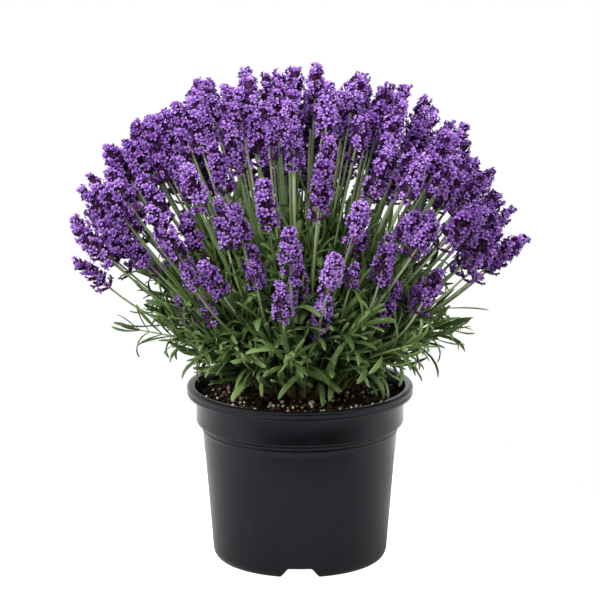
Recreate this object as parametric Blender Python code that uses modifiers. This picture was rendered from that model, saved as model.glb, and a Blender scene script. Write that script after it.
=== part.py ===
"""Potted lavender: a moulded nursery pot, its potting mix, and a lavender clump.

The clump is a woody crown that carries flowering branches and leafy shoots. Each flowering
branch forks into several flower stems, and each stem ends in a spike. Lengths are in metres,
+Z is up, and the origin is the centre of the pot's standing face.
"""

import math
import random
from dataclasses import dataclass

import bmesh
import bpy
import numpy as np
from mathutils import Vector

# Pot: outer radii and heights of its profile, from the standing face up.
POT_HEIGHT = 0.148
POT_WALL = 0.0015
FOOT_RADIUS = 0.0687
FOOT_LAND = 0.003  # width of the flat ring that the pot stands on
FOOT_ROUND = 0.009  # height over which the wall curves in to the foot
BODY_LOW_RADIUS = 0.0735
BODY_HIGH_RADIUS = 0.0816
COLLAR_LOW = 0.1165
COLLAR_HIGH = 0.1375
COLLAR_RADIUS = 0.0869
SHOULDER_HEIGHT = 0.0045
LIP_RADIUS = 0.095
LIP_WIDTH = 0.0066
LIP_HEIGHT = 0.0078
FLOOR_UNDERSIDE = 0.0072
POT_SEGMENTS = 40

# Drainage: notches through the foot and round holes through the floor.
NOTCH_COUNT = 3
NOTCH_HEIGHT = 0.0086
NOTCH_WIDE = 0.033
NOTCH_NARROW = 0.0200
DRAIN_RADIUS = 0.0055
DRAIN_RING_RADIUS = 0.044
DRAIN_RING_COUNT = 6

# Potting mix
GAP = 0.0003  # between parts that touch
SOIL_TOP = 0.1390

# Woody crown: a low dome with a peg for each shoot, on a stub that is rooted in the mix.
CROWN_RADIUS = 0.047
CROWN_RISE = 0.0085
CROWN_SEGMENTS = 16
ROOT_RADIUS = 0.015
ROOT_DEPTH = 0.022
PEG_RADIUS = 0.0021
SEAT_HEIGHT = 0.0125  # of a peg's end above the mix
SEAT_SPREAD = (0.044, 0.038)  # how far the outermost seats stand from the middle

# Clump
FLOWERING_BRANCHES = 40
LEAFY_SHOOTS = 17
TALL_FLOWERS = 190
SHORT_FLOWERS = 22
SHELL_DEPTH = 0.10  # how far below the dome a tall spike may end, as a share of its reach
FRONT_ROOM = 0.022  # gap left between spikes at the front edge, where the clump is open
TILT = (math.radians(57.5), math.radians(44))  # of the outermost stems, across and in depth
DOME = (0.214, 0.180, 0.281)  # half-axes of the dome that the tallest spikes reach
DOME_POWER = 2.3  # fuller than an ellipsoid, which is 2
DOME_CENTRE = (-0.0045, -0.0060)  # from the pot's axis: the clump leans a little
BRANCH_RADIUS = 0.0017
FORK_SPREAD = 0.0016  # how far from the fork's middle its outer stems start
STEM_RADIUS = 0.0011
SPIKE_LENGTH = 0.043
SPIKE_RADIUS = 0.0092
CLEARANCE = 0.0006  # least distance between shapes on different branches
PLANT_SEED = 22

# Leafy shoot
SHOOT_LENGTH = (0.068, 0.105)
SHOOT_DROOP = 0.40
LEAF_LENGTH = 0.036
LEAF_HALF_WIDTH = 0.0021
LEAF_THICKNESS = 0.0007
LEAF_PAIRS = 5

GOLDEN_ANGLE = math.pi * (3 - math.sqrt(5))
UP = Vector((0, 0, 1))
BACK = Vector((0, 1, 0))

COLOURS = {  # base colour (linear), roughness
    "black_plastic": ((0.022, 0.022, 0.024), 0.42),
    "potting_mix": ((0.022, 0.013, 0.008), 0.95),
    "bark": ((0.105, 0.075, 0.045), 0.85),
    "flower": ((0.165, 0.065, 0.36), 0.75),
    "leaf": ((0.085, 0.135, 0.055), 0.65),
}


# ---------------------------------------------------------------- plan of the clump


@dataclass
class Branch:
    """A flowering branch from its seat on the crown to its fork."""

    seat: Vector
    heading: Vector
    fork: Vector


@dataclass
class Flower:
    """A flower stem from its branch's fork to its neck, and the spike above that."""

    branch: int
    stem: list  # points from the fork to the neck
    bend: Vector  # the control point of the stem's curve
    axis: Vector
    length: float
    radius: float

    def spike_point(self, share):
        return self.stem[-1] + self.axis * (share * self.length)


class Occupied:
    """The capsules (start, end, radius) that shapes take up, for the clearance test."""

    def __init__(self):
        self.rows = np.empty((0, 7))
        self.owner = np.empty(0, int)
        self.base = np.empty(0, bool)  # the low part of a branch, which its own stems may touch

    def add(self, rows, owner, base=False):
        self.rows = np.vstack((self.rows, rows))
        self.owner = np.append(self.owner, [owner] * len(rows))
        self.base = np.append(self.base, [base] * len(rows))

    def clearance(self, rows, owner):
        """Least gap from these capsules to all but the base of their own branch."""
        others = self.rows[~((self.owner == owner) & self.base)]
        return least_gap(rows, others) if len(others) else 1.0


def capsules(points, radius):
    return np.array([(*a, *b, radius) for a, b in zip(points, points[1:])])


def least_gap(rows, others):
    """Least distance between two sets of capsules; negative where they overlap."""
    start, run = rows[:, None, 0:3], (rows[:, 3:6] - rows[:, 0:3])[:, None]
    far_start, far_run = others[None, :, 0:3], (others[:, 3:6] - others[:, 0:3])[None]
    between = start - far_start
    a, e = (run * run).sum(2), (far_run * far_run).sum(2)
    b, c, f = (run * far_run).sum(2), (run * between).sum(2), (far_run * between).sum(2)
    s = np.clip((b * f - c * e) / np.maximum(a * e - b * b, 1e-15), 0, 1)
    t = np.clip((b * s + f) / e, 0, 1)
    s = np.clip((b * t - c) / a, 0, 1)
    apart = np.linalg.norm(between + run * s[..., None] - far_run * t[..., None], axis=2)
    return float((apart - rows[:, None, 6] - others[None, :, 6]).min())


def disc_point(index, count):
    """Place number index of count, spread evenly over a disc of radius 1 by the golden angle."""
    radius = math.sqrt((index + 0.5) / count)
    return radius * math.cos(index * GOLDEN_ANGLE), radius * math.sin(index * GOLDEN_ANGLE)


def ring_point(index, count, inner):
    """Place number index of count, spread evenly over the ring outside a radius of inner."""
    radius = math.sqrt(inner**2 + (1 - inner**2) * (index + 0.5) / count)
    return radius * math.cos(index * GOLDEN_ANGLE), radius * math.sin(index * GOLDEN_ANGLE)


def heading_of(u, v):
    """The direction of a stem at that place of the disc: upright in the middle."""
    return Vector((math.tan(TILT[0] * u), math.tan(TILT[1] * v), 1)).normalized()


def dome_reach(heading):
    """Distance from the crown to the dome in that direction."""
    return sum((abs(h) / half) ** DOME_POWER for h, half in zip(heading, DOME)) ** (-1 / DOME_POWER)


def seat_at(index):
    """Seats spread over the crown. The inner ones flower, and the outermost are leafy."""
    u, v = disc_point(index, FLOWERING_BRANCHES + LEAFY_SHOOTS)
    seat = Vector((SEAT_SPREAD[0] * u, SEAT_SPREAD[1] * v, SOIL_TOP + SEAT_HEIGHT))
    return seat, heading_of(0.72 * u, 0.72 * v)


def plan_branches(occupied):
    branches = []
    for index in range(FLOWERING_BRANCHES):
        seat, heading = seat_at(index)
        fork = seat + heading * (0.020 + 0.005 * (index % 3))
        branches.append(Branch(seat, heading, fork))
        occupied.add(capsules([seat, fork], BRANCH_RADIUS), index, base=True)
    return branches


def nearest_branch(u, v):
    """The branch whose own place on the disc is nearest to that of a flower.

    The front branches reach back for some of theirs, since the front bears fewer.
    """
    v -= 0.25 * (1 - v * v)
    inner = math.sqrt(FLOWERING_BRANCHES / (FLOWERING_BRANCHES + LEAFY_SHOOTS))
    places = [disc_point(i, FLOWERING_BRANCHES + LEAFY_SHOOTS) for i in range(FLOWERING_BRANCHES)]
    return min(
        range(FLOWERING_BRANCHES),
        key=lambda i: (places[i][0] / inner - u) ** 2 + (places[i][1] / inner - v) ** 2,
    )


def curve_point(start, bend, end, share):
    return start * (1 - share) ** 2 + bend * (2 * share * (1 - share)) + end * share**2


def draw_flower(rng, place, branches, short, attempt):
    """One try at a flower near a place on the disc; later tries stray further from it."""
    stray = 0.015 + 0.003 * attempt
    u = place[0] + rng.uniform(-stray, stray)
    v = place[1] + rng.uniform(-stray, stray)
    size = max(1, math.hypot(u, v))
    heading = heading_of(u / size, v / size)
    branch = nearest_branch(*place)
    if short:
        reach = dome_reach(heading) * rng.uniform(0.52, 0.80)
        upright, scale = rng.uniform(0.25, 0.5), rng.choice((0.6, 0.85, 0.95, 1.0))
    else:
        reach = dome_reach(heading) * (1 - rng.uniform(0.0, SHELL_DEPTH + 0.003 * attempt))
        upright, scale = rng.uniform(0.0, 0.18), rng.uniform(0.84, 1.14)
    axis = (heading * (1 - upright) + UP * upright).normalized()
    length = SPIKE_LENGTH * scale
    radius = SPIKE_RADIUS * (0.3 + 0.7 * min(scale, 1.0)) * rng.uniform(0.93, 1.0)
    neck = Vector((*DOME_CENTRE, SOIL_TOP)) + heading * reach - axis * length
    start = branches[branch].fork
    aside = neck - start
    aside -= branches[branch].heading * aside.dot(branches[branch].heading)
    start = start + aside * (FORK_SPREAD / max(aside.length, 0.03))
    bend = neck - axis * (0.45 * (neck - start).length)
    stem = [start, curve_point(start, bend, neck, 0.45), neck]
    return Flower(branch, stem, bend, axis, length, radius)


def front_room(v):
    """The gap that a spike at that depth of the disc keeps from the others."""
    return max(CLEARANCE, FRONT_ROOM * (0.25 - v) / 1.25)


def plan_flowers(branches, occupied):
    """Every flower, each moved about its place on the disc until it clears the others."""
    rng = random.Random(PLANT_SEED)
    plan = [(disc_point(i, TALL_FLOWERS), False) for i in range(TALL_FLOWERS)]
    plan += [(ring_point(i, SHORT_FLOWERS, 0.6), True) for i in range(SHORT_FLOWERS)]
    flowers = []
    heads = np.empty((0, 7))
    for place, short in plan:
        for attempt in range(40):
            flower = draw_flower(rng, place, branches, short, attempt)
            low = capsules(flower.stem[:2], STEM_RADIUS)
            high = capsules(flower.stem[1:], STEM_RADIUS)
            head = capsules([flower.spike_point(0.2), flower.spike_point(0.8)], flower.radius)
            if len(heads) and least_gap(head, heads) < front_room(place[1]):
                continue
            if min(occupied.clearance(rows, flower.branch) for rows in (head, high, low)) >= CLEARANCE:
                occupied.add(low, flower.branch, base=True)
                occupied.add(np.vstack((high, head)), flower.branch)
                heads = np.vstack((heads, head))
                flowers.append(flower)
                break
    return flowers


@dataclass
class Leaf:
    """A blade from its base on the shoot, through a middle point, to its tip."""

    points: list
    side: Vector  # across the blade
    width: float


@dataclass
class Shoot:
    """A leafy shoot: its stem from its seat to its tip, and its leaves."""

    stem: list
    leaves: list


def draw_leaf(rng, shoot, level, turn):
    """A leaf at that share of the shoot's length, turned about it by that angle."""
    count = len(shoot.stem) - 1
    step = min(int(level * count), count - 1)
    base = shoot.stem[step].lerp(shoot.stem[step + 1], level * count - step)
    along = (shoot.stem[step + 1] - shoot.stem[step]).normalized()
    out = along.orthogonal().normalized()
    out = out * math.cos(turn) + along.cross(out) * math.sin(turn)
    lean = rng.uniform(0.55, 0.95) * (1.15 - 0.55 * level)
    low = (along * math.cos(lean) + out * math.sin(lean)).normalized()
    high = (low + along * 0.35 + UP * rng.uniform(-0.15, 0.25)).normalized()
    length = LEAF_LENGTH * rng.uniform(0.8, 1.15) * (1 - 0.35 * level)
    base = base + low * 0.0004
    middle = base + low * (0.5 * length)
    tip = middle + high * (0.5 * length)
    return Leaf([base, middle, tip], along.cross(low).normalized(), LEAF_HALF_WIDTH)


def plan_shoots(occupied):
    """The leafy shoots, whose leaves are turned or left out until they clear the rest."""
    rng = random.Random(PLANT_SEED + 1)
    shoots = []
    for index in range(FLOWERING_BRANCHES, FLOWERING_BRANCHES + LEAFY_SHOOTS):
        seat, heading = seat_at(index)
        for attempt in range(200):
            length = rng.uniform(*SHOOT_LENGTH) * (1 - 0.002 * attempt)
            sway = Vector((rng.uniform(-0.25, 0.25), rng.uniform(-0.25, 0.25), -SHOOT_DROOP))
            aim = (heading + sway).normalized()
            tip = seat + aim * length
            bend = seat + heading * (0.35 * length)
            stem = [curve_point(seat, bend, tip, share) for share in (0, 0.35, 0.68, 1)]
            rows = capsules(stem, BRANCH_RADIUS)
            if occupied.clearance(rows, index) >= CLEARANCE:
                break
        else:
            raise ValueError(f"leafy shoot {index} has no clear place")
        shoot = Shoot(stem, [])
        occupied.add(rows, index, base=True)
        for pair in range(LEAF_PAIRS):
            for side in (0, 1):
                for attempt in range(12):
                    level = 0.12 + 0.82 * pair / (LEAF_PAIRS - 1) + 0.02 * side
                    turn = pair * math.pi / 2 + side * math.pi + rng.uniform(-0.12, 0.12) * attempt
                    leaf = draw_leaf(rng, shoot, level, turn)
                    rows = capsules(leaf.points, leaf.width * 0.8)
                    rows[0, :3] += 0.25 * (rows[0, 3:6] - rows[0, :3])
                    if occupied.clearance(rows, index) >= CLEARANCE:
                        shoot.leaves.append(leaf)
                        occupied.add(rows, index)
                        break
        shoots.append(shoot)
    return shoots


# ---------------------------------------------------------------- shapes


def clear_scene():
    for found in list(bpy.data.objects):
        bpy.data.objects.remove(found, do_unlink=True)


def make_collection(name, helper=False):
    collection = bpy.data.collections.new(name)
    bpy.context.scene.collection.children.link(collection)
    collection.hide_render = helper
    return collection


def material_of(name):
    """The material of a slot, made when it is first asked for."""
    if name in bpy.data.materials:
        return bpy.data.materials[name]
    (red, green, blue), roughness = COLOURS[name]
    material = bpy.data.materials.new(name)
    material.use_nodes = True
    surface = material.node_tree.nodes["Principled BSDF"]
    surface.inputs["Base Color"].default_value = (red, green, blue, 1)
    surface.inputs["Roughness"].default_value = roughness
    material.diffuse_color = (red, green, blue, 1)
    return material


def add_object(name, mesh, collection):
    made = bpy.data.objects.new(name, mesh)
    collection.objects.link(made)
    return made


def ring(centre, axis, radius, sides):
    """Corners of a flat ring about an axis. They all start on the side towards the back."""
    square = axis.cross(BACK).normalized()
    across = square.cross(axis).normalized()
    corners = []
    for corner in range(sides):
        angle = 2 * math.pi * corner / sides
        corners.append(centre + (across * math.cos(angle) + square * math.sin(angle)) * radius)
    return corners


def loft(rings, name):
    """A closed mesh through rings of corners, which may have different counts, or one for a tip."""
    shape = bmesh.new()
    levels = [[shape.verts.new(corner) for corner in level] for level in rings]
    for low, high in zip(levels, levels[1:]):
        i = j = 0
        while i < len(low) or j < len(high):
            low_next, high_next = (i + 1) / len(low), (j + 1) / len(high)
            if i < len(low) and (low_next <= high_next or j >= len(high)):
                if len(low) > 1:
                    shape.faces.new((low[i], low[(i + 1) % len(low)], high[j % len(high)]))
                i += 1
            else:
                if len(high) > 1:
                    shape.faces.new((high[(j + 1) % len(high)], high[j], low[i % len(low)]))
                j += 1
    for end, facing in ((levels[0], -1), (levels[-1], 1)):
        if len(end) > 2:
            shape.faces.new(end[::facing])
    bmesh.ops.recalc_face_normals(shape, faces=shape.faces)
    mesh = bpy.data.meshes.new(name)
    shape.to_mesh(mesh)
    shape.free()
    return mesh


def boolean(target, operation, operand):
    """An exact Boolean with one object or with a collection of them."""
    modifier = target.modifiers.new(operation.lower(), "BOOLEAN")
    modifier.operation = operation
    modifier.solver = "EXACT"
    if isinstance(operand, bpy.types.Collection):
        modifier.operand_type = "COLLECTION"
        modifier.collection = operand
    else:
        modifier.object = operand


def fuse(name, meshes, collection, slot):
    """One body from meshes that overlap."""
    rest = make_collection(name + "_rest", helper=True)
    first = add_object(name + "_first", meshes[0], rest)
    for number, mesh in enumerate(meshes[1:]):
        add_object(f"{name}_{number}", mesh, rest)
    rest.objects.unlink(first)
    collection.objects.link(first)
    boolean(first, "UNION", rest)
    bpy.context.view_layer.update()
    mesh = bpy.data.meshes.new_from_object(first.evaluated_get(bpy.context.evaluated_depsgraph_get()))
    mesh.name = name
    for helper in [first, *rest.objects]:
        bpy.data.objects.remove(helper, do_unlink=True)
    bpy.data.collections.remove(rest)
    mesh.materials.clear()
    mesh.materials.append(material_of(slot))
    return add_object(name, mesh, collection)


def revolve(name, profile, segments, collection):
    """A solid of revolution from (radius, height) points that run down the outside."""
    mesh = bpy.data.meshes.new(name)
    last = len(profile) - 1
    closed = profile[0][0] > 0
    edges = [(i, i + 1) for i in range(last)] + ([(last, 0)] if closed else [])
    mesh.from_pydata([(radius, 0, height) for radius, height in profile], edges, [])
    made = add_object(name, mesh, collection)
    screw = made.modifiers.new("revolve", "SCREW")
    screw.steps = screw.render_steps = segments
    screw.use_merge_vertices = True
    screw.merge_threshold = 0.00002
    screw.use_smooth_shade = True
    return made


def set_material(made, slot):
    made.data.materials.append(material_of(slot))


def arc(centre, radii, start, end, steps):
    """Points on an elliptical arc, in (radius, height), between two angles in degrees."""
    points = []
    for step in range(steps + 1):
        angle = math.radians(start + (end - start) * step / steps)
        points.append((centre[0] + radii[0] * math.cos(angle), centre[1] + radii[1] * math.sin(angle)))
    return points


# ---------------------------------------------------------------- parts


def inner_radius(height):
    """Radius of the pot's inside at a height, below the collar and above it."""
    if height > COLLAR_LOW:
        return COLLAR_RADIUS - POT_WALL
    share = (height - FOOT_ROUND) / (COLLAR_LOW - SHOULDER_HEIGHT - FOOT_ROUND)
    return BODY_LOW_RADIUS + (BODY_HIGH_RADIUS - BODY_LOW_RADIUS) * min(share, 1) - POT_WALL


def build_pot(collection, cutters):
    shoulder = COLLAR_LOW - SHOULDER_HEIGHT
    floor_top = FLOOR_UNDERSIDE + POT_WALL
    top_radius = LIP_RADIUS - LIP_WIDTH
    bead = LIP_HEIGHT / 2
    profile = [
        (top_radius, POT_HEIGHT - 0.0006),
        (top_radius + 0.0008, POT_HEIGHT),
        *arc((LIP_RADIUS - 0.0022, POT_HEIGHT - bead), (0.0022, bead), 90, -20, 3),
        *arc((LIP_RADIUS - 0.0035, POT_HEIGHT - LIP_HEIGHT - 0.0005), (0.0028, 0.0022), 20, -90, 2),
        (COLLAR_RADIUS + 0.0004, COLLAR_HIGH - 0.001),
        (COLLAR_RADIUS, COLLAR_LOW + 0.0012),
        (COLLAR_RADIUS - 0.0012, COLLAR_LOW),
        (BODY_HIGH_RADIUS + 0.0012, shoulder + 0.0006),
        (BODY_HIGH_RADIUS, shoulder - 0.0012),
        *arc((FOOT_RADIUS, FOOT_ROUND), (BODY_LOW_RADIUS - FOOT_RADIUS, FOOT_ROUND), 0, -90, 4),
        (FOOT_RADIUS - FOOT_LAND, 0),
        (FOOT_RADIUS - FOOT_LAND, FLOOR_UNDERSIDE),
        (0, FLOOR_UNDERSIDE),
        (0, floor_top),
        (inner_radius(floor_top) - 0.004, floor_top),
        (inner_radius(0.013), 0.013),
        (inner_radius(shoulder - 0.0012), shoulder - 0.0012),
        (COLLAR_RADIUS - POT_WALL, COLLAR_LOW + 0.0014),
        (COLLAR_RADIUS - POT_WALL, COLLAR_HIGH),
        (top_radius - 0.0012, POT_HEIGHT - 0.0035),
    ]
    pot = revolve("pot", profile, POT_SEGMENTS, collection)
    set_material(pot, "black_plastic")
    for number in range(NOTCH_COUNT):
        angle = -math.pi / 2 + 2 * math.pi * number / NOTCH_COUNT
        out = Vector((math.cos(angle), math.sin(angle), 0))
        side = Vector((-out.y, out.x, 0))
        levels = []
        for height, width in ((-0.001, NOTCH_WIDE), (NOTCH_HEIGHT, NOTCH_NARROW)):
            levels.append(
                [
                    out * reach + side * (sign * width / 2) + UP * height
                    for reach, sign in ((0.055, -1), (0.085, -1), (0.085, 1), (0.055, 1))
                ]
            )
        cutter = add_object(f"notch_{number + 1}", loft(levels, "notch"), cutters)
        boolean(pot, "DIFFERENCE", cutter)
    holes = [(0, 0)]
    for number in range(DRAIN_RING_COUNT):
        angle = 2 * math.pi * number / DRAIN_RING_COUNT
        holes.append((DRAIN_RING_RADIUS * math.cos(angle), DRAIN_RING_RADIUS * math.sin(angle)))
    for number, (x, y) in enumerate(holes):
        levels = [ring(Vector((x, y, height)), UP, DRAIN_RADIUS, 10) for height in (0.004, 0.012)]
        cutter = add_object(f"drain_hole_{number + 1}", loft(levels, "drain_hole"), cutters)
        boolean(pot, "DIFFERENCE", cutter)
    for cutter in cutters.objects:
        cutter.hide_render = True
        cutter.display_type = "WIRE"


def build_potting_mix(collection):
    floor_top = FLOOR_UNDERSIDE + POT_WALL + GAP
    shoulder = COLLAR_LOW - SHOULDER_HEIGHT
    profile = [
        (0, SOIL_TOP - ROOT_DEPTH - GAP),
        (ROOT_RADIUS * 0.7 + GAP, SOIL_TOP - ROOT_DEPTH - GAP),
        (ROOT_RADIUS + GAP, SOIL_TOP - 0.4 * ROOT_DEPTH),
        (ROOT_RADIUS + GAP, SOIL_TOP),
        (COLLAR_RADIUS - POT_WALL - 0.002, SOIL_TOP),
        (COLLAR_RADIUS - POT_WALL - GAP, SOIL_TOP - 0.0015),
        (COLLAR_RADIUS - POT_WALL - GAP, COLLAR_LOW + 0.002),
        (inner_radius(shoulder - 0.0012) - GAP, shoulder - 0.0006),
        (inner_radius(0.013) - GAP, 0.0134),
        (inner_radius(floor_top) - 0.0046, floor_top),
        (0, floor_top),
    ]
    mix = revolve("potting_mix", profile, POT_SEGMENTS, collection)
    set_material(mix, "potting_mix")


def build_crown(collection, seats):
    """The woody crown: a dome and its root by revolving, with a peg up to each seat."""
    base = SOIL_TOP + GAP
    profile = [
        (0, base + CROWN_RISE),
        (0.45 * CROWN_RADIUS, base + 0.93 * CROWN_RISE),
        (0.80 * CROWN_RADIUS, base + 0.62 * CROWN_RISE),
        (CROWN_RADIUS, base + 0.12 * CROWN_RISE),
        (CROWN_RADIUS - 0.001, base),
        (ROOT_RADIUS, base),
        (ROOT_RADIUS, SOIL_TOP - 0.4 * ROOT_DEPTH),
        (ROOT_RADIUS * 0.7, SOIL_TOP - ROOT_DEPTH),
        (0, SOIL_TOP - ROOT_DEPTH),
    ]
    dome = revolve("crown_dome", profile, CROWN_SEGMENTS, collection)
    bpy.context.view_layer.update()
    meshes = [bpy.data.meshes.new_from_object(dome.evaluated_get(bpy.context.evaluated_depsgraph_get()))]
    bpy.data.objects.remove(dome, do_unlink=True)
    for seat, heading in seats:
        end = seat - heading * GAP
        foot = Vector((seat.x * 0.96, seat.y * 0.96, base + 0.0004))
        axis = (end - foot).normalized()
        rings = [ring(foot, axis, PEG_RADIUS * 1.2, 3), ring(end, heading, PEG_RADIUS, 3)]
        meshes.append(loft(rings, "peg"))
    return fuse("woody_crown", meshes, collection, "bark")


def stem_rings(points, radius, end_scale=1.0):
    """Three-cornered rings along a bent stem."""
    rings = []
    for number, point in enumerate(points):
        before, after = points[max(number - 1, 0)], points[min(number + 1, len(points) - 1)]
        scale = 1 + (end_scale - 1) * number / (len(points) - 1)
        rings.append(ring(point, (after - before).normalized(), radius * scale, 3))
    return rings


def flower_mesh(flower):
    rings = stem_rings(flower.stem, STEM_RADIUS)
    for share in (0.16, 0.72):
        rings.append(ring(flower.spike_point(share), flower.axis, 0.9 * flower.radius, 5))
    rings.append([flower.spike_point(1.0)])
    return loft(rings, "flower")


def branch_meshes(branch, flowers):
    """The branch's own wood, swollen at its fork, and its flowers."""
    below, beyond = branch.fork - branch.heading * 0.003, branch.fork + branch.heading * 0.0015
    rings = []
    for point, scale in ((branch.seat, 0.9), (below, 0.9), (beyond, 1.75)):
        rings.append(ring(point, branch.heading, BRANCH_RADIUS * scale, 4))
    return [loft(rings, "branch"), *[flower_mesh(flower) for flower in flowers]]


def leaf_mesh(leaf):
    """A blade with a rounded back, broadest in the middle."""
    base, middle, tip = leaf.points
    low, high = (middle - base).normalized(), (tip - middle).normalized()
    rings = []
    for centre, axis, width in ((base, low, 0.35), (middle.lerp(tip, 0.3), (low + high).normalized(), 1.0)):
        normal = leaf.side.cross(axis).normalized()
        half, thick = leaf.side * (leaf.width * width), normal * LEAF_THICKNESS
        rings.append([centre - half, centre + half, centre + thick])
    rings.append([tip])
    return loft(rings, "leaf")


def build():
    clear_scene()
    parts = make_collection("potted_lavender")
    cutters = make_collection("cutters", helper=True)
    occupied = Occupied()
    branches = plan_branches(occupied)
    flowers = plan_flowers(branches, occupied)
    shoots = plan_shoots(occupied)
    build_pot(parts, cutters)
    build_potting_mix(parts)
    seats = [seat_at(index) for index in range(FLOWERING_BRANCHES + LEAFY_SHOOTS)]
    build_crown(parts, seats)
    for number, branch in enumerate(branches):
        own = [flower for flower in flowers if flower.branch == number]
        fuse(f"flowering_branch_{number + 1:02d}", branch_meshes(branch, own), parts, "flower")
    for number, shoot in enumerate(shoots):
        meshes = [loft(stem_rings(shoot.stem, BRANCH_RADIUS * 0.85, 0.6), "stem")]
        meshes += [leaf_mesh(leaf) for leaf in shoot.leaves]
        fuse(f"leafy_shoot_{number + 1:02d}", meshes, parts, "leaf")
    print(len(flowers), "flowers,", sum(len(shoot.leaves) for shoot in shoots), "leaves")


build()
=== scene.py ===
"""Potted lavender in flower: a clump of flower stems and leafy shoots on a woody crown, rooted in
potting mix in a moulded nursery pot.

The clump follows one rule: places spread over a disc by the golden angle set the direction of
every stem, and each stem is turned until it clears the others. Lengths are in metres, with +Z up
and the origin at the centre of the pot's standing face.
"""

import math
import random
from dataclasses import dataclass
import bmesh
import bpy
import numpy as np
from mathutils import Matrix, Quaternion, Vector, noise


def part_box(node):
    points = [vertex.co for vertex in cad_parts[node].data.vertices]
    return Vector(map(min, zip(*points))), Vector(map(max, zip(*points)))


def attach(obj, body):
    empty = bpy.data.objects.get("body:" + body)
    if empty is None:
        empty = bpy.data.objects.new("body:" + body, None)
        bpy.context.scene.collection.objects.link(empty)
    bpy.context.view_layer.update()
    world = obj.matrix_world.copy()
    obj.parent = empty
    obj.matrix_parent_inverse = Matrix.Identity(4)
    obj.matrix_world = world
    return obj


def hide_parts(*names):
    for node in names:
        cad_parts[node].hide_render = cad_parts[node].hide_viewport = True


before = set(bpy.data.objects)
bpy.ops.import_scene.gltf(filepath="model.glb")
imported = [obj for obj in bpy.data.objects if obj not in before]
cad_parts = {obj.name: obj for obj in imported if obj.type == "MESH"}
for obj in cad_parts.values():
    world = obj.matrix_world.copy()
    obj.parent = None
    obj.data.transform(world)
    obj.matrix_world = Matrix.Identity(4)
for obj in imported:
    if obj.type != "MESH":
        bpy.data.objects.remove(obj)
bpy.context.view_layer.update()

# Pot: outer radii and heights of its profile, from the standing face up.
POT_HEIGHT = 0.148
POT_WALL = 0.0015
FOOT_RADIUS = 0.0687
FOOT_LAND = 0.003  # width of the flat ring that the pot stands on
FOOT_ROUND = 0.009  # height over which the wall curves in to the foot
BODY_LOW_RADIUS = 0.0735
BODY_HIGH_RADIUS = 0.0816
COLLAR_LOW = 0.1165
COLLAR_RADIUS = 0.0869
SHOULDER_HEIGHT = 0.0045
LIP_WIDTH = 0.0066
FLOOR_UNDERSIDE = 0.0072

# Drainage: notches through the foot and round holes through the floor.
NOTCH_COUNT = 3
NOTCH_HEIGHT = 0.0086
NOTCH_WIDE = 0.033
NOTCH_NARROW = 0.0200
DRAIN_RADIUS = 0.0055
DRAIN_RING_RADIUS = 0.044
DRAIN_RING_COUNT = 6

# Potting mix
SOIL_TOP = 0.1390

# Woody crown: a low dome with a peg for each shoot, on a stub that is rooted in the mix.
SEAT_HEIGHT = 0.0125  # of a peg's end above the mix
SEAT_SPREAD = (0.044, 0.038)  # how far the outermost seats stand from the middle

# Clump
FLOWERING_BRANCHES = 40
LEAFY_SHOOTS = 17
TALL_FLOWERS = 190
SHORT_FLOWERS = 22
SHELL_DEPTH = 0.10  # how far below the dome a tall spike may end, as a share of its reach
FRONT_ROOM = 0.022  # gap left between spikes at the front edge, where the clump is open
TILT = (math.radians(57.5), math.radians(44))  # of the outermost stems, across and in depth
DOME = (0.214, 0.180, 0.281)  # half-axes of the dome that the tallest spikes reach
DOME_POWER = 2.3  # fuller than an ellipsoid, which is 2
DOME_CENTRE = (-0.0045, -0.0060)  # from the pot's axis: the clump leans a little
BRANCH_RADIUS = 0.0017
FORK_SPREAD = 0.0016  # how far from the fork's middle its outer stems start
STEM_RADIUS = 0.0011
SPIKE_LENGTH = 0.043
SPIKE_RADIUS = 0.0092
CLEARANCE = 0.0006  # least distance between shapes on different branches
PLANT_SEED = 22

# Leafy shoot
SHOOT_LENGTH = (0.068, 0.105)
SHOOT_DROOP = 0.40
LEAF_LENGTH = 0.036
LEAF_HALF_WIDTH = 0.0021
LEAF_PAIRS = 5

GOLDEN_ANGLE = math.pi * (3 - math.sqrt(5))
UP = Vector((0, 0, 1))

# What is drawn beyond the plan
EXTRA_FLOWERS = 90  # places tried for more tall spikes
EXTRA_FRONT = -0.1  # none of the tall ones stands further forward on the disc
EXTRA_OVERLAP = 0.006  # how far an extra spike may press into its neighbours
EXTRA_SHORT = 40  # low places tried for more, of which those in front are kept
EXTRA_ROOM = 0.006  # gap between a low extra spike and the others
FLOWER_GROUPS = 6  # pieces that the florets are split into
BASAL_SHOOTS = 64

# Maps of grown pieces
MAP_NAME = "OFBake"
SHADE_BANDS = 16  # a grown piece's map is this many strips, one for each shade
STRIP_EDGE = 0.15  # unused margin of a strip
MAP_EDGE = 0.02  # unused margin at a strip's ends
MERGE_DISTANCE = 1e-6  # corners this close become one

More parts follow.
